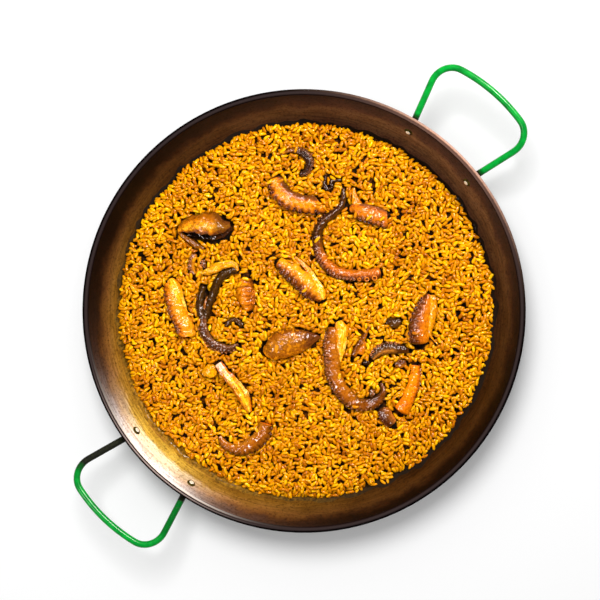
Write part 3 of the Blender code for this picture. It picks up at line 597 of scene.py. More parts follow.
octopus = {
    "arm_tip_curl": [
        {"route": [(-24, 165, 1.4), (-17.5, 169.5, 2), (-10, 170.6, 2.9), (-2.5, 169, 3.8), (4, 163.6, 4.4),
         (6.6, 156, 4.2), (3.6, 148.7, 3.4), (-3, 144.5, 2.2)], "bands": [(0, 110, 60, 8),
         (0.5, 150, 88, 12), (1, 120, 66, 8)], "change": (0.25, 0.4), "endBands": skinCurl,
         "ribs": (0.4, 0.4, 3, 0.12), "suckers": [(1, 1, 1.2, 3, 0.35, 0.9, 25, "dark")]}],
    "arm_chunk_top": [
        {"route": [(-30, 139, 8), (-26, 129, 9.3), (-18, 120, 9.6), (-6, 115, 9.6), (8, 113, 9.4),
         (18, 113, 9)], "bands": [(0, 90, 38, 6), (0.1, 190, 100, 8), (0.3, 236, 140, 4),
         (0.55, 240, 140, 6), (0.68, 206, 110, 16), (0.78, 134, 72, 26), (1, 88, 48, 16)],
         "ribs": (-0.85, 0.3, 6.4, 0.1), "cut": "end", "slant": -0.75,
         "suckers": [(-1, 2.4, 2.4, 6.4, 0.08, 0.99, 8, "dark"),
         (-1, 1.5, 1.5, 5.2, 0.1, 0.97, 40, "dark")]}],
    "arm_tip_knot": [
        {"route": [(40, 139, 1.4), (33, 138, 1.7), (29, 137, 1.9), (30, 132, 1.9), (26, 129, 1.8),
         (22, 133, 1.8), (23, 139, 1.6), (24, 144, 1.2)], "bands": skinDark}],
    "arm_long_s": [
        {"route": [(42, 130, 1.8), (42, 120, 3.2), (40, 111, 3.4), (32, 103, 4), (22, 96, 4.7), (16, 87, 5),
         (15, 79, 5), (15, 70, 5.2), (18, 59, 5.6), (24, 50, 6), (34, 42, 6.4), (43, 39, 6.4),
         (54, 38, 6.3), (66, 38, 6.2), (80, 40, 5.8)], "bands": skinThin, "change": (0.42, 0.58),
         "ribs": (-0.5, 0.35, 3.7, 0.12), "endBands": [(0, 60, 26, 6), (0.2, 104, 46, 10),
         (0.36, 150, 76, 26), (0.5, 190, 100, 26), (0.7, 200, 106, 12), (1, 160, 84, 8)],
         "suckers": [(-1, 0.9, 1.5, 3.4, 0.12, 0.74, 8, "dark"), (-1, 0.8, 1.4, 3.6, 0.5, 0.84, 46, "pink"),
         (-1, 2.3, 2.9, 8.6, 0.86, 1, 44, "orange")]}],
    "arm_chunk_forked": [
        {"route": [(50, 108, 4), (55, 108, 7), (62, 105, 8.6), (73, 102, 9.2), (88, 97, 8.8)],
         "bands": [(0, 80, 36, 10), (0.12, 170, 88, 14), (0.3, 210, 116, 8), (0.55, 214, 120, 12),
         (0.75, 200, 104, 12), (0.88, 150, 84, 44), (1, 104, 58, 36)], "ribs": (-0.8, 0.35, 5.4, 0.09),
         "cut": "end", "slant": -0.4, "suckers": [(-1, 2, 2.2, 5.4, 0.22, 0.97, 10, "dark"),
         (-1, 1.3, 1.4, 4.6, 0.3, 0.95, 42, "pink")]},
        {"route": [(53, 130, 1.5), (54, 122, 3), (57, 112, 5.4)], "lift": 1, "bands": [(0, 236, 148, 6),
         (0.5, 222, 132, 6), (1, 196, 112, 4)]}],
    "mantle_fold": [
        {"route": [(-134, 84, 1.6), (-125, 77, 2.6), (-115, 70, 3.2), (-107, 66, 1.5)], "sink": 0.1,
         "bands": [(0, 160, 94, 4), (0.5, 136, 78, 4), (1, 100, 54, 4)]},
        {"dome": True, "route": [(-134, 85, 3), (-125, 88, 10.5), (-111, 89, 15.5), (-98, 88, 16.5),
         (-86, 88, 12.5), (-78, 91, 3.5)], "bands": foldTones, "endDark": (78, 42, 20),
         "spots": ((104, 54, 6), 0.56)}],
    "arm_chunk_centre": [
        {"route": [(-26, 51, 6), (-15, 44, 9.4), (-2, 32, 10), (9, 21, 9), (18, 12, 4)],
         "bands": [(0, 66, 30, 6), (0.1, 100, 46, 8), (0.275, 146, 72, 12), (0.42, 204, 116, 22),
         (0.6, 232, 146, 16), (0.8, 240, 166, 14), (1, 230, 150, 14)], "ribs": (-0.5, 0.4, 6.2, 0.08),
         "suckers": [(-1, 2.6, 2, 6.8, 0.12, 0.9, 8, "dark"), (-1, 1.9, 1.5, 6.2, 0.14, 0.88, 38, "dark")]},
        {"route": [(-9, 57, 1.4), (-1, 50, 2.2), (6, 42, 3.2), (12, 31, 4.6), (18, 20, 5.4), (20, 13, 4.6)],
         "lift": 2, "flatness": 0.6, "bands": [(0, 196, 106, 12), (0.5, 226, 134, 20), (1, 214, 126, 14)],
         "change": (0.25, 0.55), "endBands": flesh, "fibres": goldFibres}],
    "arm_chunk_left": [
        {"route": [(-144, 29, 5), (-141, 19, 7.8), (-137, 6, 8.8), (-132, -6, 9.4), (-126, -18, 9.6),
         (-125, -27, 9.4)], "bands": [(0, 80, 36, 8), (0.12, 176, 88, 10), (0.3, 228, 132, 12),
         (0.6, 244, 158, 10), (0.86, 238, 156, 8), (1, 190, 110, 10)], "ribs": (-0.8, 0.35, 5.2, 0.09),
         "cut": "end", "suckers": [(-1, 2, 2.2, 5.2, 0.1, 0.98, 8, "dark"),
         (-1, 1.2, 1.3, 4.8, 0.25, 0.98, 40, "pink")]},
        {"route": [(-142, 33, 4), (-139, 26, 7.4), (-135, 16, 7.2), (-130, 6, 4.6), (-125, -2, 2),
         (-118, -5, 1.2)], "lift": 2.6, "flatness": 0.6, "bands": flesh, "fibres": goldFibres}],
    "arm_pair_left": [
        {"route": [(-107, -6, 4), (-108, -16, 4.8), (-104, -27, 5.1), (-98, -35, 5.1), (-90, -39, 4.8),
         (-81, -41, 4.3), (-70, -37, 2.6)], "bands": [(0, 56, 30, 8), (0.1, 92, 52, 14),
         (0.275, 84, 46, 20), (0.5, 88, 48, 26), (0.725, 102, 58, 26), (0.88, 124, 78, 44),
         (1, 56, 30, 10)], "ribs": (-0.5, 0.5, 4, 0.1),
         "suckers": [(-1, 1.4, 1.1, 3.8, 0.1, 0.97, 14, "pink")]},
        {"route": [(-72, 43, 3.4), (-80, 42, 4.4), (-88, 36, 4.8), (-94, 26, 4.6), (-98, 15, 4.2),
         (-102, 5, 3.9), (-105, -8, 3.8)], "bands": skinOlive},
        {"route": [(-107, 25, 3.2), (-110, 15, 3.8), (-111, 4, 3.8), (-108, -8, 4)], "bands": skinOlive,
         "suckers": [(-1, 1.1, 1.1, 3.8, 0.3, 0.9, 14, "dark")]},
        {"route": [(-108, 40, 1.6), (-101, 42, 4.2), (-93, 46, 5), (-85, 49, 4.6), (-77, 50, 3.6),
         (-72, 47.5, 3), (-70, 43, 1.4)], "lift": 3.4, "flatness": 0.4, "wave": 1,
         "fibres": ((186, 104, 2), (250, 194, 20)), "bands": [(0, 218, 138, 6), (0.3, 238, 168, 4),
         (0.6, 230, 166, 2), (1, 202, 144, 2)]},
        {"route": [(-103, 15, 0.8), (-105, 8, 1.7), (-105.5, 0, 1.7), (-105, -7, 1)], "lift": 1.2,
         "bands": [(0, 146, 82, 14), (1, 150, 84, 14)]}],
    "arm_scrap_left": [
        {"route": [(-116, 60, 2.6), (-119, 54, 3.6), (-120, 46, 3.6), (-117, 39, 2.6)],
         "bands": [(0, 70, 34, 8), (0.3, 108, 58, 18), (0.55, 156, 92, 26), (0.8, 196, 122, 12),
         (1, 196, 126, 10)], "suckers": [(-1, 1.3, 1.3, 3.6, 0.1, 0.9, 50, "pink")]}],
    "sucker_scrap_left": [
        {"route": [(-107, 54, 2), (-107, 50, 2.8), (-106, 46, 2)], "bands": [(0, 90, 50, 12),
         (0.5, 104, 60, 30), (1, 120, 66, 10)], "suckers": [(-1, 1.2, 1.2, 3.4, 0.2, 0.9, 50, "pink")]}],
    "arm_chunk_buried": [
        {"route": [(-62, 33, 6.5), (-62, 23, 9.4), (-61, 12, 9.4), (-58, 1, 4.5)], "sink": 0.55,
         "bands": [(0, 204, 120, 4), (0.2, 226, 136, 4), (0.4, 220, 126, 4), (0.6, 204, 112, 6),
         (0.8, 172, 92, 6), (1, 118, 58, 6)], "ribs": (0.3, 0.5, 5, 0.07),
         "suckers": [(1, 1.9, 1.9, 5, 0.4, 0.95, 28, "orange")]}],
    "arm_tip_hook": [
        {"route": [(-83, -16, 2.2), (-79, -12, 2.6), (-75, -10, 2.7), (-70, -12, 2.5), (-66, -16, 1.8)],
         "bands": [(0, 58, 34, 4), (0.5, 78, 46, 12), (1, 74, 40, 8)]}],
    "mantle_wedge": [
        {"route": [(-42, -41.5, 4), (-38.5, -41.5, 8.5), (-34, -40.5, 12.6), (-25, -36.5, 14.6),
         (-15, -33.4, 14.8), (-5, -31.7, 12.8), (3, -30.3, 10), (10, -29, 6), (17.5, -28.4, 1.6)],
         "flatness": 0.52, "sink": 0.24, "lumps": 0.3, "bands": [(0, 186, 106, 6), (0.1, 166, 92, 5),
         (0.275, 158, 90, 8), (0.5, 152, 90, 10), (0.7, 166, 100, 12), (0.85, 148, 80, 6), (1, 92, 48, 5)],
         "spots": ((244, 156, 8), 0.56), "endDark": (84, 38, 16)}],
    "arm_long_hook": [
        {"route": [(31, -19, 5.6), (29, -37, 7.6), (31, -53, 8.4), (32, -67, 8), (38, -80, 8),
         (47, -92, 7.9), (58, -99, 7), (71, -99, 6), (80, -94, 4.8), (85, -85, 3.6), (82, -77, 1.8)],
         "bands": [(0, 78, 38, 8), (0.1, 118, 64, 20), (0.275, 146, 78, 14), (0.5, 168, 92, 10),
         (0.725, 178, 102, 10), (1, 166, 98, 10)], "ribs": (-0.9, 0.3, 4.4, 0.12), "change": (0.55, 0.8),
         "endBands": [(0, 68, 34, 6), (0.1, 94, 48, 8), (0.275, 122, 64, 8), (0.5, 114, 56, 6),
         (0.725, 86, 40, 4), (0.9, 72, 38, 12), (1, 48, 24, 8)],
         "suckers": [(-1, 1.7, 1.3, 4.6, 0.04, 0.9, 6, "dark"),
         (-1, 1.2, 0.9, 4.2, 0.06, 0.86, 34, "pink")]},
        {"route": [(38, -12, 4.6), (40.5, -20, 7), (40.5, -32, 6.2), (39.5, -44, 4), (39, -54, 1.6)],
         "lift": 2, "flatness": 0.6, "bands": flesh, "fibres": goldFibres}],
    "arm_stub": [
        {"route": [(84, -105, 6), (88, -112, 7.2), (94, -119, 6.2)], "bands": [(0, 68, 28, 6),
         (0.275, 88, 42, 14), (0.5, 104, 58, 26), (0.75, 146, 84, 24), (1, 190, 110, 40)],
         "suckers": [(-1, 1.4, 1.4, 4.4, 0.1, 0.9, 30, "dark")]}],
    "web_flap": [
        {"route": [(70, -17, 0.9), (64, -28, 2.4), (58, -38, 3.6), (53, -47, 3)], "flatness": 0.6,
         "bands": [(0, 102, 50, 4), (0.5, 116, 58, 5), (0.8, 158, 88, 4), (1, 184, 106, 2)]},
        {"route": [(66, -33, 1), (62, -39, 4), (60, -45, 4.4)], "flatness": 0.4, "sink": 0.4,
         "bands": [(0, 160, 86, 6), (0.4, 194, 106, 4), (1, 198, 114, 2)]}],
    "arm_scrap_right": [
        {"route": [(88, -13, 1.8), (92, -11, 4), (97, -13, 5.2), (102, -10, 3)], "bands": [(0, 88, 54, 8),
         (0.5, 84, 52, 24), (0.8, 56, 32, 20), (1, 68, 40, 8)]}],
    "arm_arch": [
        {"route": [(73, -50, 3.4), (80, -43, 5.6), (90, -39.5, 6.2), (101, -40, 5.4), (111, -42, 2.8)],
         "bands": [(0, 66, 38, 12), (0.12, 126, 76, 18), (0.28, 186, 118, 36), (0.38, 148, 94, 38),
         (0.5, 108, 70, 36), (0.72, 80, 50, 24), (1, 48, 26, 8)], "ribs": (0.4, 0.5, 4, 0.12),
         "change": (0.6, 0.75), "endBands": [(0, 64, 36, 12), (0.3, 82, 42, 4), (0.6, 68, 36, 10),
         (1, 52, 26, 10)], "suckers": [(1, 1.6, 1.3, 4, 0.05, 0.7, 30, "pink"),
         (1, 1.4, 1.2, 4, 0.1, 0.8, 4, "dark")]}],
    "arm_chunk_right": [
        {"route": [(132, 17, 3.2), (128, 5, 6.8), (124, -7, 8.8), (122, -20, 10), (123, -32, 10)],
         "bands": [(0, 68, 30, 8), (0.1, 100, 50, 12), (0.275, 122, 60, 16), (0.5, 180, 94, 14),
         (0.725, 212, 116, 8), (1, 214, 128, 6)], "ribs": (-0.4, 0.4, 6.6, 0.08),
         "suckers": [(-1, 2.3, 2.7, 6.4, 0.12, 0.97, 6, "dark"),
         (-1, 1.5, 1.7, 5.6, 0.16, 0.95, 36, "dark"), (-1, 1, 1.2, 6, 0.16, 0.9, 62, "pink")]},
        {"route": [(136, 16, 3.4), (137.5, 5, 4.2), (136, -8, 4.2), (133.5, -20, 3), (135, -27, 1.2),
         (142, -35, 0.8)], "lift": 2.5, "flatness": 0.6, "bands": [(0, 224, 138, 4), (0.3, 238, 156, 2),
         (0.6, 226, 144, 2), (1, 198, 122, 4)]}],
    "arm_strip_right": [
        {"route": [(119, -58, 5), (118, -71, 6), (115, -83, 6.6), (110, -95, 7), (104, -105, 8.4)],
         "flatness": 0.6, "bands": [(0, 234, 128, 4), (0.2, 244, 142, 2), (0.6, 242, 140, 2),
         (0.75, 224, 116, 2), (0.9, 172, 88, 4), (1, 116, 60, 6)], "change": (0.66, 0.8),
         "endBands": [(0, 212, 110, 4), (0.3, 232, 122, 2), (0.7, 224, 120, 1), (1, 192, 106, 2)],
         "cut": "start", "cutTone": (232, 112, 70), "suckers": [(1, 1.6, 1.3, 5, 0.08, 0.5, 6, "pink")]}],
    "arm_strip_pale": [
        {"route": [(-90, -57, 4.4, 9), (-83, -66, 5, 8), (-74, -76, 5.8, 6), (-66, -87, 6.4, 4),
         (-61, -98, 5.6, 2), (-58, -108, 2.6, 0)], "flatness": 0.7, "bands": [(0, 214, 110, 6),
         (0.2, 244, 156, 8), (0.42, 255, 200, 16), (0.58, 255, 214, 30), (0.78, 246, 166, 12),
         (1, 184, 88, 8)], "fibres": ((224, 110, 6), (255, 236, 120)), "startPale": (255, 226, 204)}],
    "flesh_disc": [
        {"route": [(-107, -68, 2.6), (-103.5, -66, 6), (-99, -64.5, 7.2), (-94.5, -63, 6)], "sink": 0.1,
         "lift": 4, "flatness": 0.42, "bands": [(0, 246, 172, 2), (0.4, 238, 164, 0), (1, 216, 144, 0)]}],
    "arm_arc_low": [
        {"route": [(-40, -121, 7), (-43, -130, 8.2), (-51, -140, 8.2), (-60, -146, 7.2), (-72, -148, 6),
         (-84, -143, 4.2), (-90, -135, 2.4)], "bands": [(0, 146, 88, 18), (0.15, 182, 112, 20),
         (0.3, 166, 92, 10), (0.55, 160, 88, 6), (0.8, 144, 80, 6), (1, 106, 62, 8)],
         "ribs": (0.8, 0.35, 5, 0.07), "cut": "start", "cutTone": (240, 120, 10),
         "suckers": [(1, 1.5, 1.2, 5, 0.05, 0.8, 10, "dark")]}],
    "arm_scrap_mid": [
        {"route": [(64, -55, 2), (67, -55, 3), (70, -55, 2)], "bands": skinDark}],
    "sucker_scrap_right": [
        {"route": [(98, -57, 3), (103, -56, 4.4), (108, -55, 3)], "flatness": 0.6,
         "bands": [(0, 168, 94, 8), (0.3, 148, 86, 18), (0.55, 102, 52, 20), (0.8, 90, 46, 12),
         (1, 118, 68, 14)], "suckers": [(1, 2.2, 2.2, 6, 0.5, 0.9, 60, "dark")]}],
    "sucker_scrap_low": [
        {"route": [(72, -84, 2.4), (72.5, -87.5, 3.2), (72, -91, 2.2)], "bands": [(0, 78, 42, 12),
         (0.5, 102, 62, 28), (1, 88, 50, 18)], "suckers": [(1, 1.2, 1.2, 3.4, 0.2, 0.9, 50, "pink")]}],
}

# grains that lie on top of the octopus: (right, up, heading in degrees)
laidGrains = [(-30, 144.5, 35), (-24, 137.5, 30), (-36, 136.5, 35), (-38, 141.5, -5),
              (-22, 170, 35), (-8, 171, 70), (-11, 164.5, -30), (16, 113.5, -10),
              (29, 56, 0), (43.5, 49, -20), (51.5, 46.5, 60), (59, 44.5, -50), (14.5, 75.5, 45),
              (55, 101.5, 75), (71.5, 113, 5), (69.5, 98.5, 45), (83, 97, 40),
              (-13.5, 52, -30), (-7, 51, -40), (-12, 60, -10), (1.5, 22, 40),
              (-68, 28, 50), (-63, 27.5, 15), (-68, 20.5, 70), (-61.5, 34, -20),
              (-112, -12.5, 80), (38, -69.5, 80), (55, -101.5, 0), (-116.5, 54.5, 50),
              (-111, 47.5, -50), (-102, 49, 85), (-113, 39, 60), (118.5, -23.5, -10),
              (111.5, -28.5, -70), (-50, -127, -50), (-66, -134, -3), (-59, -132, 55),
              (-76, -137, -5), (-71, -142, -15), (-87, -132, -45), (99, -97, -25)]


def catmullRom(marks, fineness=12):
    marks = np.array(marks, float)
    ends = np.concatenate([marks[:1], marks, marks[-1:]])
    found = []
    for a, b, c, d in zip(ends, ends[1:], ends[2:], ends[3:]):
        for share in np.arange(fineness) / fineness:
            found.append(b + 0.5 * share * (c - a + share * (2 * a - 5 * b + 4 * c - d + share
                                                             * (3 * (b - c) + d - a))))
    found.append(marks[-1])
    return np.array(found)


def evenly(marks, pitch):
    steps = np.linalg.norm(np.diff(marks[:, :2], axis=0), axis=1)
    lengths = np.concatenate([[0], np.cumsum(steps)])
    wanted = np.linspace(0, lengths[-1], max(3, round(lengths[-1] / pitch)) + 1)
    return np.stack([np.interp(wanted, lengths, column) for column in marks.T], -1)


def strandMarks(strand, pitch):
    # (right, up, half width, height of the middle) along a strand
    flat = strand.get("flatness", flatness)
    rise = 1 - 2 * strand.get("sink", sink)
    marks = []
    for right, up, half, *lift in strand["route"]:
        middle = riceTop + half * flat * rise + strand.get("lift", 0) + sum(lift)
        marks.append((right, up, half, middle))
    return evenly(catmullRom(marks), pitch)


def directions(marks):
    ahead = np.gradient(marks[:, :2], axis=0)
    ahead /= np.linalg.norm(ahead, axis=1)[:, None]
    return ahead, np.stack([-ahead[:, 1], ahead[:, 0]], -1)


def addStrand(shape, strand, slot, seed):
    flat = strand.get("flatness", flatness)
    pitch = 0.85
    marks = strandMarks(strand, pitch)
    ahead, across = directions(marks)
    sides = 28
    angles = roundAngles(sides)
    side, top = np.cos(angles), np.sin(angles)
    half, middle = marks[:, 2], marks[:, 3]
    count, along = len(marks), np.linspace(0, 1, len(marks))
    reach = np.broadcast_to(half[:, None], (count, sides)).copy()
    rib = np.zeros((count, sides))
    if "ribs" in strand:
        where, breadth, spacing, depth = strand["ribs"]
        beat = np.cos(np.arange(count) * pitch * 2 * math.pi / spacing)
        weight = np.exp(-((side - where) / breadth) ** 2) * (top > -0.2)
        rib = beat[:, None] * weight[None]
        reach *= 1 + depth * rib
    plan = marks[:, None, :2] + across[:, None] * (reach * side[None])[..., None]
    near = np.exp(-np.arange(count)[::-1] * pitch / 6) * strand.get("slant", 0) * half
    plan = plan + ahead[:, None] * (near[:, None] * side[None])[..., None]
    height = middle[:, None] + reach * flat * top[None]
    height += strand.get("wave", 0) * np.sin(along * 16)[:, None] * side[None]
    points = np.concatenate([plan, height[..., None]], -1)
    outwards = points - np.concatenate([marks[:, :2], middle[:, None]], -1)[:, None]
    lumps = 0.08 * ripples(points, 5.5, seed) + 0.045 * ripples(points, 2.2, seed + 1)
    points = points + outwards * lumps[..., None] * strand.get("lumps", 1)
    rib = np.pad(rib, ((3, 3), (0, 0)), mode="edge").ravel()
    closings, cuts = [], []
    for name, end, sign in (("start", 0, -1), ("end", -1, 1)):
        # an end is rounded, or cut square with its edge just broken
        square = name == strand.get("cut")
        centre = np.append(marks[end, :2], middle[end])
        rings = []
        for share in (0.1, 0.16, 0.17) if square else (0.35, 0.7, 0.92):
            size = 1 - (share - 0.1) * 2 if square else math.sqrt(1 - share * share)
            push = ahead[end] * sign * share * half[end] * (0.5 if square else 0.35)
            rings.append(centre + (points[end] - centre) * size + np.append(push, 0))
        closings.append(rings[::sign])
        cuts.append([0, square, square][::sign])
    points = np.concatenate([closings[0], points, closings[1]])
    along = np.pad(along, 3, mode="edge")
    cut = np.concatenate([cuts[0], np.zeros(count), cuts[1]])
    count = len(points)
    tips = [points[0].mean(0), points[-1].mean(0)]
    shape.add(np.concatenate([points.reshape(-1, 3), tips]), *tubeFaces(count, sides, True), slot,
              side=np.append(np.tile((side + 1) / 2, count), [0.5, 0.5]), cup=0,
              along=np.append(np.repeat(along, sides), [0, 1]), rib=np.append(rib, [0, 0]),
              cut=np.append(np.repeat(cut, sides), [cut[0], cut[-1]]))


# The fold of the mantle: across it, a dome from its back foot over to a lip, then the hollow
# under the lip. (side, share of the height, share of the way round for its colour)
foldSection = [(1.0, -0.15, 0.0), (0.97, 0.25, 0.05), (0.82, 0.58, 0.14), (0.55, 0.85, 0.26),
               (0.25, 0.98, 0.38), (0.0, 1.0, 0.46), (-0.2, 0.93, 0.52), (-0.36, 0.78, 0.57),
               (-0.43, 0.66, 0.6), (-0.42, 0.56, 0.62), (-0.3, 0.6, 0.66), (-0.05, 0.6, 0.7),
               (0.12, 0.42, 0.75), (0.1, 0.2, 0.8), (-0.2, 0.1, 0.85), (-0.5, 0.06, 0.9),
               (-0.68, 0.06, 0.95), (-0.76, -0.06, 1.0), (-0.7, -0.25, 1.0), (0.0, -0.3, 1.0)]


def addShell(shape, shell, slot):
    marks = strandMarks({**shell, "flatness": 0.54, "sink": 0.2}, 0.8)
    _, across = directions(marks)
    section = np.array(foldSection)
    curve = catmullRom(np.concatenate([section, section[:1] + [[0, 0, 1]]]), 3)[:-1]
    side, rise, path = curve.T
    half = marks[:, 2]
    waviness = 1 + 0.06 * ripples(marks[:, :2], 6, 5)
    plan = marks[:, None, :2] + across[:, None] * (half[:, None] * side[None]
                                                   * waviness[:, None])[..., None]
    height = 11.5 + half[:, None] * 0.9 * rise[None]
    points = np.concatenate([plan, height[..., None]], -1)
    points[..., 2] += 0.5 * ripples(points, 5, 6) * (path > 0.05)[None]
    points[..., :2] += 0.5 * ripples(points, 4, 8)[..., None]
    rows, sides = points.shape[:2]
    tips = [points[0].mean(0), points[-1].mean(0)]
    shape.add(np.concatenate([points.reshape(-1, 3), tips]), *tubeFaces(rows, sides, True), slot,
              side=np.append(np.tile(path, rows), [0.5, 0.5]), cut=0, cup=0, rib=0,
              along=np.append(np.repeat(np.linspace(0, 1, rows), sides), [0, 1]))


# A sucker's section: (radius, height, place on its ramp)
cupProfile = [(0.74, -1.1, 0.0), (0.94, -0.35, 0.1), (1.0, 0.1, 0.25), (0.93, 0.36, 0.4),
              (0.76, 0.44, 0.5), (0.6, 0.28, 0.65), (0.48, -0.05, 0.8), (0.28, -0.25, 0.95),
              (0.001, -0.3, 1.0)]
# from a cup's outside over its rim into its pit; the dark and pink cups have their pits painted near black
# as shade
cupTones = {
    "dark": [(0, 64, 24, 8), (0.25, 112, 50, 20), (0.45, 150, 82, 48), (0.65, 66, 26, 12),
             (0.85, 30, 10, 4), (1, 20, 6, 2)],
    "pink": [(0, 96, 42, 8), (0.25, 164, 84, 30), (0.45, 210, 134, 84), (0.65, 124, 56, 18),
             (0.85, 64, 26, 8), (1, 46, 18, 4)],
    "orange": [(0, 150, 66, 8), (0.25, 200, 98, 12), (0.45, 232, 132, 30), (0.65, 160, 74, 8),
               (0.85, 184, 94, 10), (1, 150, 68, 6)],
}


def addSuckers(shape, strand, row, slot):
    sideWay, startSize, endSize, spacing, start, end, tilt, _ = row
    flat = strand.get("flatness", flatness)
    marks = strandMarks(strand, 0.5)
    _, across = directions(marks)
    tilt = math.radians(tilt)
    angles = roundAngles(12)
    travelled = start * len(marks)
    while travelled < end * len(marks):
        index = min(int(travelled), len(marks) - 1)
        right, up, half, height = marks[index]
        outPlan = across[index] * sideWay
        share = (travelled / len(marks) - start) / (end - start)
        cup = lerp(startSize, endSize, share) * chance.uniform(0.9, 1.1)
        surface = np.array([right, up]) + outPlan * half * math.cos(tilt) * 0.98
        place = np.append(surface, height + half * flat * math.sin(tilt))
        faceLean = min(1.5, tilt + math.radians(26) + chance.uniform(-0.15, 0.15))
        normal = np.append(outPlan * math.cos(faceLean), math.sin(faceLean))
        first = np.cross(normal, [0, 0, 1.0])
        first /= np.linalg.norm(first)
        second = np.cross(normal, first)
        points, depth = [], []
        for radius, rise, mark in cupProfile:
            ring = np.cos(angles)[:, None] * first + np.sin(angles)[:, None] * second
            points.append(place + ring * cup * radius + normal * cup * rise)
            depth.append(np.full(12, mark))
        shape.add(np.concatenate(points), gridFaces(len(cupProfile), 12)[:, ::-1], [], slot,
                  side=0, along=index / len(marks), cut=0, rib=0, cup=np.concatenate(depth))
        travelled += lerp(spacing * 0.9, spacing, share) / 0.5 * chance.uniform(0.94, 1.06)


def fleshShader(name, strand):
    shader = Shader(name, Specular_IOR_Level=0.45, Specular_Tint=(1, 0.92, 0.9, 1))
    place = shader.place()
    mottle = shader.noise(4.5, 4.0, place, 0.6)
    fine = shader.noise(2.2, 3.0, place, 0.6)
    side = (shader.mark("side") + (mottle - 0.5) * 0.3).clamped()
    along, rib = shader.mark("along"), shader.mark("rib")
    colour = shader.tones(side, strand["bands"])
    if "endBands" in strand:
        low, high = strand["change"]
        share = ((along + (mottle - 0.5) * 0.15 - low) / (high - low)).clamped()
        colour = shader.mix(share, colour, shader.tones(side, strand["endBands"]))
    # a pale start: partly the flesh's own pale colour, partly a painted sheen
    if "startPale" in strand:
        share = ((0.26 - along + (mottle - 0.5) * 1.6) * 6).clamped()
        colour = shader.mix(share, colour, srgb(*strand["startPale"]))
    if "endDark" in strand:
        share = ((along + (mottle - 0.5) * 0.3 - 0.6) * 5).clamped()
        colour = shader.mix(share * 0.8, colour, srgb(*strand["endDark"]))
    if "spots" in strand:
        tone, cover = strand["spots"]
        spot = shader.noise(5, 3.0, place, 0.65)
        share = ((spot - cover + 0.04) * 14).clamped() * (1 - along)
        colour = shader.mix(share.clamped(), colour, srgb(*tone))
    if "fibres" in strand:
        crease, ridge = strand["fibres"]
        lines = shader.add("CombineXYZ", {}, [side * 11, along * 2.5, 0])
        lines = shader.add("TexNoise", {}, {"Vector": lines, "Scale": 1.0, "Detail": 3.0})
        colour = shader.mix(((0.49 - lines) * 9).clamped(), colour, srgb(*crease))
        colour = shader.mix(((lines - 0.56) * 9).clamped(), colour, srgb(*ridge))
    # painted shade: darker in the valleys between the ribs
    colour = shader.mix(((0 - rib) * mottle * 1.5).clamped(), colour, (0.34, 0.22, 0.14, 1),
                        "MULTIPLY")
    if "cut" in strand:
        colour = shader.mix(shader.mark("cut"), colour, srgb(*strand.get("cutTone", (250, 166, 20))))
    tone = shader.ramp(fine, [(0.32, (0.46, 0.34, 0.27, 1)), (0.52, (0.9, 0.83, 0.74, 1))])
    colour = shader.mix(1.0, colour, tone, "MULTIPLY")
    wet = shader.noise(6, 1.5, place, 0.5)
    shader.set(Base_Color=colour, Roughness=0.1 + mottle * 0.1)
    shader.bump(wet + fine * 0.12, 2.2)
    return shader.material


def suckerShader(kind):
    shader = Shader("suckers " + kind, Roughness=0.17, Specular_IOR_Level=0.5)
    shader.set(Base_Color=shader.tones(shader.mark("cup"), cupTones[kind]))
    return shader.material


def makeOctopus():
    cups = {kind: suckerShader(kind) for kind in cupTones}
    for number, (name, piece) in enumerate(octopus.items()):
        shape = Shape()
        materials = []
        for index, strand in enumerate(piece):
            if "dome" in strand:
                addShell(shape, strand, index)
            else:
                addStrand(shape, strand, index, 100 + number * 10 + index)
            label = "dome" if "dome" in strand else index + 1
            materials.append(fleshShader(f"{name} {label}", strand))
        for strand in piece:
            for row in strand.get("suckers", ()):
                cup = cups[row[-1]]
                if cup not in materials:
                    materials.append(cup)
                addSuckers(shape, strand, row, materials.index(cup))
        made = shape.build(name + "_cooked", materials)
        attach(made, "root")
        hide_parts(name)


# The rice: real grains, heaped one by one on a height map over their own core

rice = {
    "radius": 200.0,
    "shoulder": 184.0,
    "edgeTop": 7.4,
    "mound": 0.7,
    "under": 4.6,  # the core's top below the rice's
    "grain": (8.5, 3.8, 3.1),
    "grains": 12400,
    "tries": 70000,
    "perPiece": 3200,
    "pits": 640,
    "edgeRoom": 3.2,  # from the rice's edge to the middles of its last grains
    "overfill": 1.5,  # how far above the wanted height a spot may stand and still be tried
}
mapHalf = 210
mapSize = 2 * mapHalf + 1
pitMark = 40  # a height above all grains, for cells that stay empty


def riceEdge(azimuth):
    # the rice reaches further up the wall at the lower right
    ring = np.stack([np.cos(azimuth), np.sin(azimuth)], -1) * 30
    return rice["radius"] + 2.3 + 1.8 * np.cos(azimuth + math.pi / 3) + 1.2 * ripples(ring, 3.0, 7)


def riceHeight(right, up, edge):
    distance = np.hypot(right, up)
    mound = rice["mound"] * (np.sin(right / 27 + 1.1) * np.sin(up / 33 + 0.4)
                             + 0.5 * np.sin(right / 13 - up / 17))
    share = np.clip((distance - rice["shoulder"]) / (edge - rice["shoulder"]), 0, 1) ** 2
    return (riceTop + mound) * (1 - share) + rice["edgeTop"] * share


def floorHeight(distance):
    # of the pan's inner face
    over = np.clip(distance - pan["floorRadius"], 0, pan["corner"] * 0.9)
    rise = pan["corner"] - np.sqrt(pan["corner"] ** 2 - over ** 2)
    return pan["sheet"] + rise


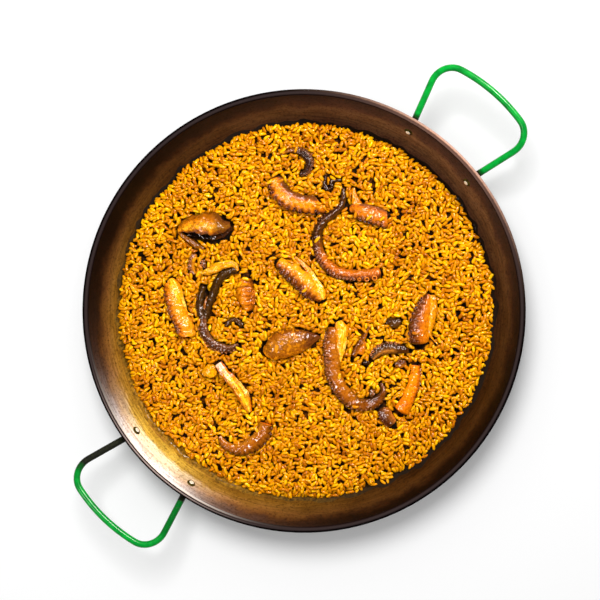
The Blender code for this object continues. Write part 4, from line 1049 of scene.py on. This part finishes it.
def octopusHeights(shrink):
    # the top of the octopus over the map, or nothing
    heights = np.full((mapSize, mapSize), -np.inf)
    for piece in octopus.values():
        for strand in piece:
            flat = strand.get("flatness", flatness)
            marks = strandMarks(strand, 1.0)
            end, inner = (0, 1) if strand.get("cut") == "start" else (-1, -2)
            inwards = marks[inner] - marks[end]
            for right, up, half, middle in marks:
                half *= shrink
                reach = int(half) + 1
                x0, y0 = int(round(right)) + mapHalf, int(round(up)) + mapHalf
                ys, xs = np.mgrid[y0 - reach:y0 + reach + 1, x0 - reach:x0 + reach + 1]
                away = ((xs - mapHalf - right) ** 2 + (ys - mapHalf - up) ** 2) / half ** 2
                top = middle + half * flat * np.sqrt(np.clip(1 - away, 0, 1))
                top[away > 1] = -np.inf
                if "cut" in strand:
                    past = (xs - mapHalf - marks[end, 0]) * inwards[0] \
                        + (ys - mapHalf - marks[end, 1]) * inwards[1]
                    top[past < 0] = -np.inf
                window = heights[y0 - reach:y0 + reach + 1, x0 - reach:x0 + reach + 1]
                np.maximum(window, top, out=window)
    return heights


def grainPrints():
    # for each heading, the cells that a grain covers: offsets, place along it and half height
    length, width, thick = rice["grain"]
    prints = []
    for heading in np.radians(np.arange(0, 180, 5)):
        ys, xs = np.mgrid[-5:6, -5:6]
        along = xs * math.cos(heading) + ys * math.sin(heading)
        across = -xs * math.sin(heading) + ys * math.cos(heading)
        inside = (along / (length / 2)) ** 2 + (across / (width / 2)) ** 2
        keep = inside < 0.96
        rise = thick / 2 * np.sqrt(1 - inside[keep])
        prints.append((heading, ys[keep], xs[keep], along[keep], rise))
    return prints


def heapGrains():
    # drops grains one by one where the heap is lowest, and returns (x, y, z, heading, slope)
    ys, xs = np.mgrid[-mapHalf:mapHalf + 1, -mapHalf:mapHalf + 1]
    distance = np.hypot(xs, ys)
    wanted = np.maximum(riceHeight(xs, ys, rice["radius"]), floorHeight(distance) + 2.0)
    field = np.maximum(wanted - rice["under"], floorHeight(distance))
    blocked = octopusHeights(0.86)
    field = np.maximum(field, blocked)
    prints = grainPrints()
    found = []
    for x, y in chance.uniform(-1, 1, (rice["pits"], 2)) * rice["radius"] * 0.95:
        # a pit between grains, a few millimetres wide, that stays open
        turn, long, wide = chance.uniform(0, math.pi), chance.uniform(1.1, 2.4), chance.uniform(0.7, 1.2)
        along = (xs - x) * math.cos(turn) + (ys - y) * math.sin(turn)
        across = (ys - y) * math.cos(turn) - (xs - x) * math.sin(turn)
        field[(along / long) ** 2 + (across / wide) ** 2 < 1] = pitMark
    for _ in range(rice["tries"]):
        if len(found) >= rice["grains"]:
            break
        spots = chance.uniform(-1, 1, (5, 2)) * rice["radius"]
        cells = np.rint(spots).astype(int) + mapHalf
        lack = wanted[cells[:, 1], cells[:, 0]] - field[cells[:, 1], cells[:, 0]]
        edge = riceEdge(np.arctan2(spots[:, 1], spots[:, 0]))
        lack[np.hypot(spots[:, 0], spots[:, 1]) > edge - rice["edgeRoom"]] = -np.inf
        best = int(np.argmax(lack))
        if lack[best] < -rice["overfill"]:
            continue
        x, y = cells[best, 0], cells[best, 1]
        options = []
        for choice in chance.integers(len(prints), size=3):
            heading, dy, dx, along, rise = prints[choice]
            window = field[y + dy, x + dx]
            ahead, behind = window[along > 1.2].mean(), window[along < -1.2].mean()
            slope = float(np.clip((ahead - behind) / 5 + chance.normal(0, 0.1), -0.6, 0.6))
            middle = float(np.max(window + rise - slope * along)) - 0.95
            options.append((middle, slope, choice))
        middle, slope, choice = min(options)
        heading, dy, dx, along, rise = prints[choice]
        window = field[y + dy, x + dx]
        limit = wanted[y, x] + chance.uniform(-0.9, 0.7)
        if middle > limit:
            continue
        top = middle + slope * along + rise
        field[y + dy, x + dx] = np.maximum(window, top)
        found.append((spots[best, 0], spots[best, 1], middle, heading, slope))
    tops = octopusHeights(1.0)
    for right, up, turn in laidGrains:
        top = tops[int(round(up)) + mapHalf, int(round(right)) + mapHalf]
        below = field[int(round(up)) + mapHalf, int(round(right)) + mapHalf]
        top = max(top, riceTop if below == pitMark else below)
        found.append((right, up, top + 1.0, math.radians(turn), 0.0))
    print("grains", len(found))
    return np.array(found)


def grainTemplate(bend, blunt):
    # one grain along X, of unit half length, width and thickness
    stations = [(-0.84, 0.55 + blunt), (-0.5, 0.9), (0.0, 1.0), (0.5, 0.92), (0.84, 0.6 - blunt)]
    angles = roundAngles(6)
    points = [(x, radius * math.cos(a) + bend * (x * x - 0.3), radius * math.sin(a))
              for x, radius in stations for a in angles]
    points += [(-1, bend * 0.7, 0), (1, bend * 0.7, 0)]
    return np.array(points), *tubeFaces(5, 6)


def grainMesh(name, grains, material):
    length, width, thick = (v / 2 for v in rice["grain"])
    templates = [grainTemplate(bend, blunt) for bend, blunt in
                 ((0.0, 0.0), (0.25, 0.1), (-0.25, 0.05), (0.4, -0.1), (-0.4, 0.1), (0.12, 0.2))]
    kinds = chance.integers(len(templates), size=len(grains))
    sizes = chance.uniform(0.86, 1.1, (len(grains), 3))
    rolls = chance.uniform(-0.6, 0.6, len(grains))
    flips = chance.random(len(grains)) < 0.5
    heading = grains[:, 3] + np.where(flips, math.pi, 0) + chance.normal(0, 0.05, len(grains))
    slope = np.arctan(np.where(flips, -grains[:, 4], grains[:, 4]))
    ahead = np.stack([np.cos(heading) * np.cos(slope), np.sin(heading) * np.cos(slope),
                      np.sin(slope)], -1)
    side = np.stack([-np.sin(heading), np.cos(heading), np.zeros(len(grains))], -1)
    upward = np.cross(ahead, side)
    side, upward = (side * np.cos(rolls)[:, None] + upward * np.sin(rolls)[:, None],
                    upward * np.cos(rolls)[:, None] - side * np.sin(rolls)[:, None])
    shape = Shape()
    tone = chance.random(len(grains))
    for kind, (template, quads, tris) in enumerate(templates):
        chosen = np.flatnonzero(kinds == kind)
        count = len(template)
        local = template[None] * sizes[chosen][:, None] * np.array([length, width, thick])
        points = grains[chosen, None, :3] + local[..., :1] * ahead[chosen, None] \
            + local[..., 1:2] * side[chosen, None] + local[..., 2:] * upward[chosen, None]
        starts = (np.arange(len(chosen)) * count)[:, None, None]
        shape.add(points.reshape(-1, 3), (quads[None] + starts).reshape(-1, 4),
                  (tris[None] + starts).reshape(-1, 3),
                  tone=np.repeat(tone[chosen], count),
                  tip=np.tile(np.abs(template[:, 0]), len(chosen)))
    made = shape.build(name, [material])
    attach(made, "root")
    return made


def riceShader():
    shader = Shader("saffron grains", Roughness=0.19, Specular_IOR_Level=0.5,
                    Specular_Tint=(1, 0.9, 0.86, 1), Subsurface_Weight=0.25,
                    Subsurface_Radius=(1.0, 0.8, 0.15), Subsurface_Scale=0.0015)
    place = shader.place()
    tone = shader.mark("tone")
    patch = shader.noise(30, 2.0, place)
    fine = shader.noise(2.2, 2.0, place)
    share = (tone * 0.8 + patch * 0.7 - 0.25).clamped()
    colour = shader.tones(share, [(0, 166, 88, 0), (0.25, 198, 120, 0), (0.5, 214, 140, 0),
                                  (0.75, 226, 158, 0), (1, 244, 188, 4)])
    shade = shader.ramp(fine, [(0.3, (0.7, 0.55, 0.4, 1)), (0.55, (1, 1, 1, 1))])
    shader.set(Base_Color=shader.mix(0.5, colour, shade, "MULTIPLY"))
    return shader.material


def coreShader():
    shader = Shader("rice in shade", Roughness=0.6, Specular_IOR_Level=0.1)
    tone = shader.noise(5, 3.0)
    shader.set(Base_Color=shader.tones(tone, [(0.42, 8, 3, 0), (0.55, 40, 18, 0), (0.7, 90, 44, 0)]))
    shader.bump(tone, 1.0, 0.6)
    return shader.material


def makeCore():
    # a closed disc under the grains, out to the rice's edge
    steps = 240
    angles = roundAngles(steps)
    radii = np.concatenate([np.linspace(2, 180, 46), [184, 188, 192, 196, 199]])
    rows = []
    for radius in radii:
        xs, ys = radius * np.cos(angles), radius * np.sin(angles)
        top = riceHeight(xs, ys, rice["radius"]) - rice["under"]
        top = np.maximum(top + 0.35 * ripples(np.stack([xs, ys], -1), 4, 11),
                         floorHeight(np.full(steps, radius)) + 0.25)
        rows.append(np.stack([xs, ys, top], -1))
    for radius in (199.3, 196, 188, 2):
        low = floorHeight(radius) + 0.12
        rows.append(np.stack([radius * np.cos(angles), radius * np.sin(angles),
                              np.full(steps, low)], -1))
    points = np.concatenate(rows)
    centres = [points[:steps].mean(0), points[-steps:].mean(0)]
    shape = Shape()
    shape.add(np.concatenate([points, centres]), *tubeFaces(len(rows), steps, True))
    made = shape.build("rice_core", [coreShader()])
    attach(made, "root")
    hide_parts("rice")


def brothShader():
    # a dull film, with a broken wet line along it
    shader = Shader("broth film", Specular_IOR_Level=0.2)
    flat, radius = fromAxis(shader, shader.place())
    tone = shader.noise(3.5, 4.0, None, 0.6)
    lit = shader.tones(tone, [(0.35, 84, 56, 4), (0.65, 160, 112, 20)])
    # painted light and shade: the film takes its lit colour round the lower left and is near black
    # elsewhere
    share = lobe(shader, flat, radius, 222, 3.0)
    shader.set(Base_Color=shader.mix(share, srgb(22, 11, 3), lit))
    across = shader.mark("across")
    drops = ((shader.noise(3.2, 2.0) - 0.46) * 12).clamped()
    wet = (1 - (across - 0.66) * (across - 0.66) * 200).clamped() * drops
    shader.set(Roughness=0.85 - wet * 0.65)
    shader.bump(tone, 0.3, 0.4)
    return shader.material


def makeBroth():
    # the film of broth that creeps up the wall all round the rice
    steps = 720
    angles = roundAngles(steps)
    ring = np.stack([np.cos(angles), np.sin(angles)], -1)
    lowerLeft = np.clip(np.cos(angles - math.radians(222)), 0, 1) ** 4
    edge = riceEdge(angles)
    end = edge + 1.4 + lowerLeft * 1.6 + 0.9 * ripples(ring * 60, 3.0, 21)
    shape = Shape()
    rows, shares = [], np.linspace(0, 1, 12)
    for share in shares:
        radius = lerp(edge - 7, end, share)
        thick = 1.5 * math.sqrt(1 - share) + 0.3 * math.exp(-((share - 0.66) / 0.06) ** 2)
        rows.append(np.concatenate([ring * radius[:, None],
                                    (floorHeight(radius) + thick + 0.02)[:, None]], -1))
    shape.add(np.concatenate(rows), gridFaces(len(rows), steps)[:, ::-1], [],
              across=np.repeat(shares, steps))
    made = shape.build("rice_broth", [brothShader()])
    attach(made, "root")


def makeRice():
    makeCore()
    makeBroth()
    grains = heapGrains()
    material = riceShader()
    per = rice["perPiece"]
    for number in range(math.ceil(len(grains) / per)):
        grainMesh(f"rice_grains_{number + 1}", grains[number * per:(number + 1) * per], material)


# Floor, light and camera


def makeFloor():
    half = 6000
    corners = [(-half, -half, 0), (half, -half, 0), (half, half, 0), (-half, half, 0)]
    floor = meshObject("floor", np.array(corners), [(0, 1, 2, 3)], [])
    shader = Shader("white paper", Roughness=0.9)
    shader.set(Base_Color=(0.95, 0.95, 0.95, 1))
    floor.data.materials.append(shader.material)


def makeLight(name, azimuth, elevation, distance, size, power, colour=(1, 1, 1)):
    # azimuth as in the photograph, anticlockwise from its right
    lamp = bpy.data.lights.new(name, "AREA")
    lamp.shape = "DISK"
    lamp.size = size
    lamp.energy = power
    lamp.color = colour
    holder = bpy.data.objects.new(name, lamp)
    bpy.context.scene.collection.objects.link(holder)
    azimuth, elevation = math.radians(azimuth), math.radians(elevation)
    away = Vector(toRow([math.cos(azimuth) * math.cos(elevation),
                         math.sin(azimuth) * math.cos(elevation), math.sin(elevation)])) / mm
    holder.location = away * distance
    holder.rotation_euler = (-away).to_track_quat("-Z", "Y").to_euler()
    return holder


camera = {"place": (62.0, 36.0, 1300.0), "aim": (-1.98, 12.17, 50.0), "lens": 72.66, "sensor": 36}


def makeCamera():
    lens = bpy.data.cameras.new("camera")
    lens.lens, lens.sensor_width = camera["lens"], camera["sensor"]
    holder = bpy.data.objects.new("camera", lens)
    bpy.context.scene.collection.objects.link(holder)
    place, aim = Vector(toRow(camera["place"])), Vector(toRow(camera["aim"]))
    forward = (aim - place).normalized()
    right = forward.cross(Vector(toRow([0.0, 1000.0, 0.0]))).normalized()
    up = right.cross(forward)
    spin = Matrix((right, up, -forward)).transposed().to_4x4()
    spin.translation = place
    holder.matrix_world = spin
    bpy.context.scene.camera = holder


def makeWorld():
    # a studio whose walls shine on the floor, and whose lamps alone are mirrored
    world = bpy.data.worlds.new("studio")
    bpy.context.scene.world = world
    world.use_nodes = True
    tree = world.node_tree
    ground = tree.nodes["Background"]
    place = tree.nodes.new("ShaderNodeTexCoord")
    split = tree.nodes.new("ShaderNodeSeparateXYZ")
    ramp = tree.nodes.new("ShaderNodeValToRGB")
    ramp.color_ramp.elements.new(0.5)
    stops = [(0.0, 0.56), (0.8, 0.7), (0.95, 0.3)]
    for stop, (height, bright) in zip(ramp.color_ramp.elements, stops):
        stop.position, stop.color = height, (bright, bright, bright, 1)
    tree.links.new(place.outputs["Generated"], split.inputs[0])
    tree.links.new(split.outputs["Z"], ramp.inputs[0])
    tree.links.new(ramp.outputs[0], ground.inputs["Color"])
    ground.inputs["Strength"].default_value = 1.0
    world.cycles_visibility.glossy = False
    bpy.context.scene.view_settings.view_transform = "Standard"


makePan()
green = enamel()
turns = {"right": handle["skew"], "left": math.pi - handle["skew"]}
# how dark each handle's enamel is along it: darker near the rim on both handles, and darker further out on
# the left handle, burnt along one of its arms
darkenings = {"right": lambda share, radius: np.clip((237 - radius) / 7, 0, 1),
            "left": lambda share, radius: np.where(
                share > 0.5, np.clip((292 - radius) / 24, 0, 1),
                np.clip((238 - radius) / 7, 0, 1)
                + 0.3 * np.clip((296 - radius) / 30, 0, 1))}
rivetMaterials = [rivetMetal(), grimeRing()]
for side, turn in turns.items():
    makeHandle("handle_" + side, turn, darkenings[side], green)
    for place, spot in zip(("one", "two"), rivetFrames(turn)):
        makeRivet(f"rivet_{side}_{place}", spot, rivetMaterials)
print("pan done")
makeOctopus()
print("octopus done")
makeRice()
print("rice done")
makeFloor()
key = makeLight("key", 48, 48, 1.6, 0.26, 24, (1.0, 0.97, 0.93))
lit = bpy.data.collections.new("lit by the key")  # the key light spares the floor
for thing in bpy.context.scene.objects:
    if thing.type == "MESH" and thing.name != "floor":
        lit.objects.link(thing)
key.light_linking.receiver_collection = lit
wet = bpy.data.collections.new("wet flesh")
for thing in lit.objects:
    if thing.name.endswith("_cooked"):
        wet.objects.link(thing)
for label, azimuth, elevation in (("gleam", 102, 64), ("glimmer", 212, 54)):
    lamp = makeLight(label, azimuth, elevation, 1.7, 0.3, 15, (1.0, 0.95, 0.94))
    lamp.visible_diffuse = False
    lamp.light_linking.receiver_collection = wet
glint = makeLight("glint", 212, 52, 1.6, 0.12, 4)
glint.light_linking.receiver_collection = lit
soft = makeLight("soft", 102, 62, 1.9, 0.95, 27)
soft.visible_glossy = False
makeWorld()
makeCamera()
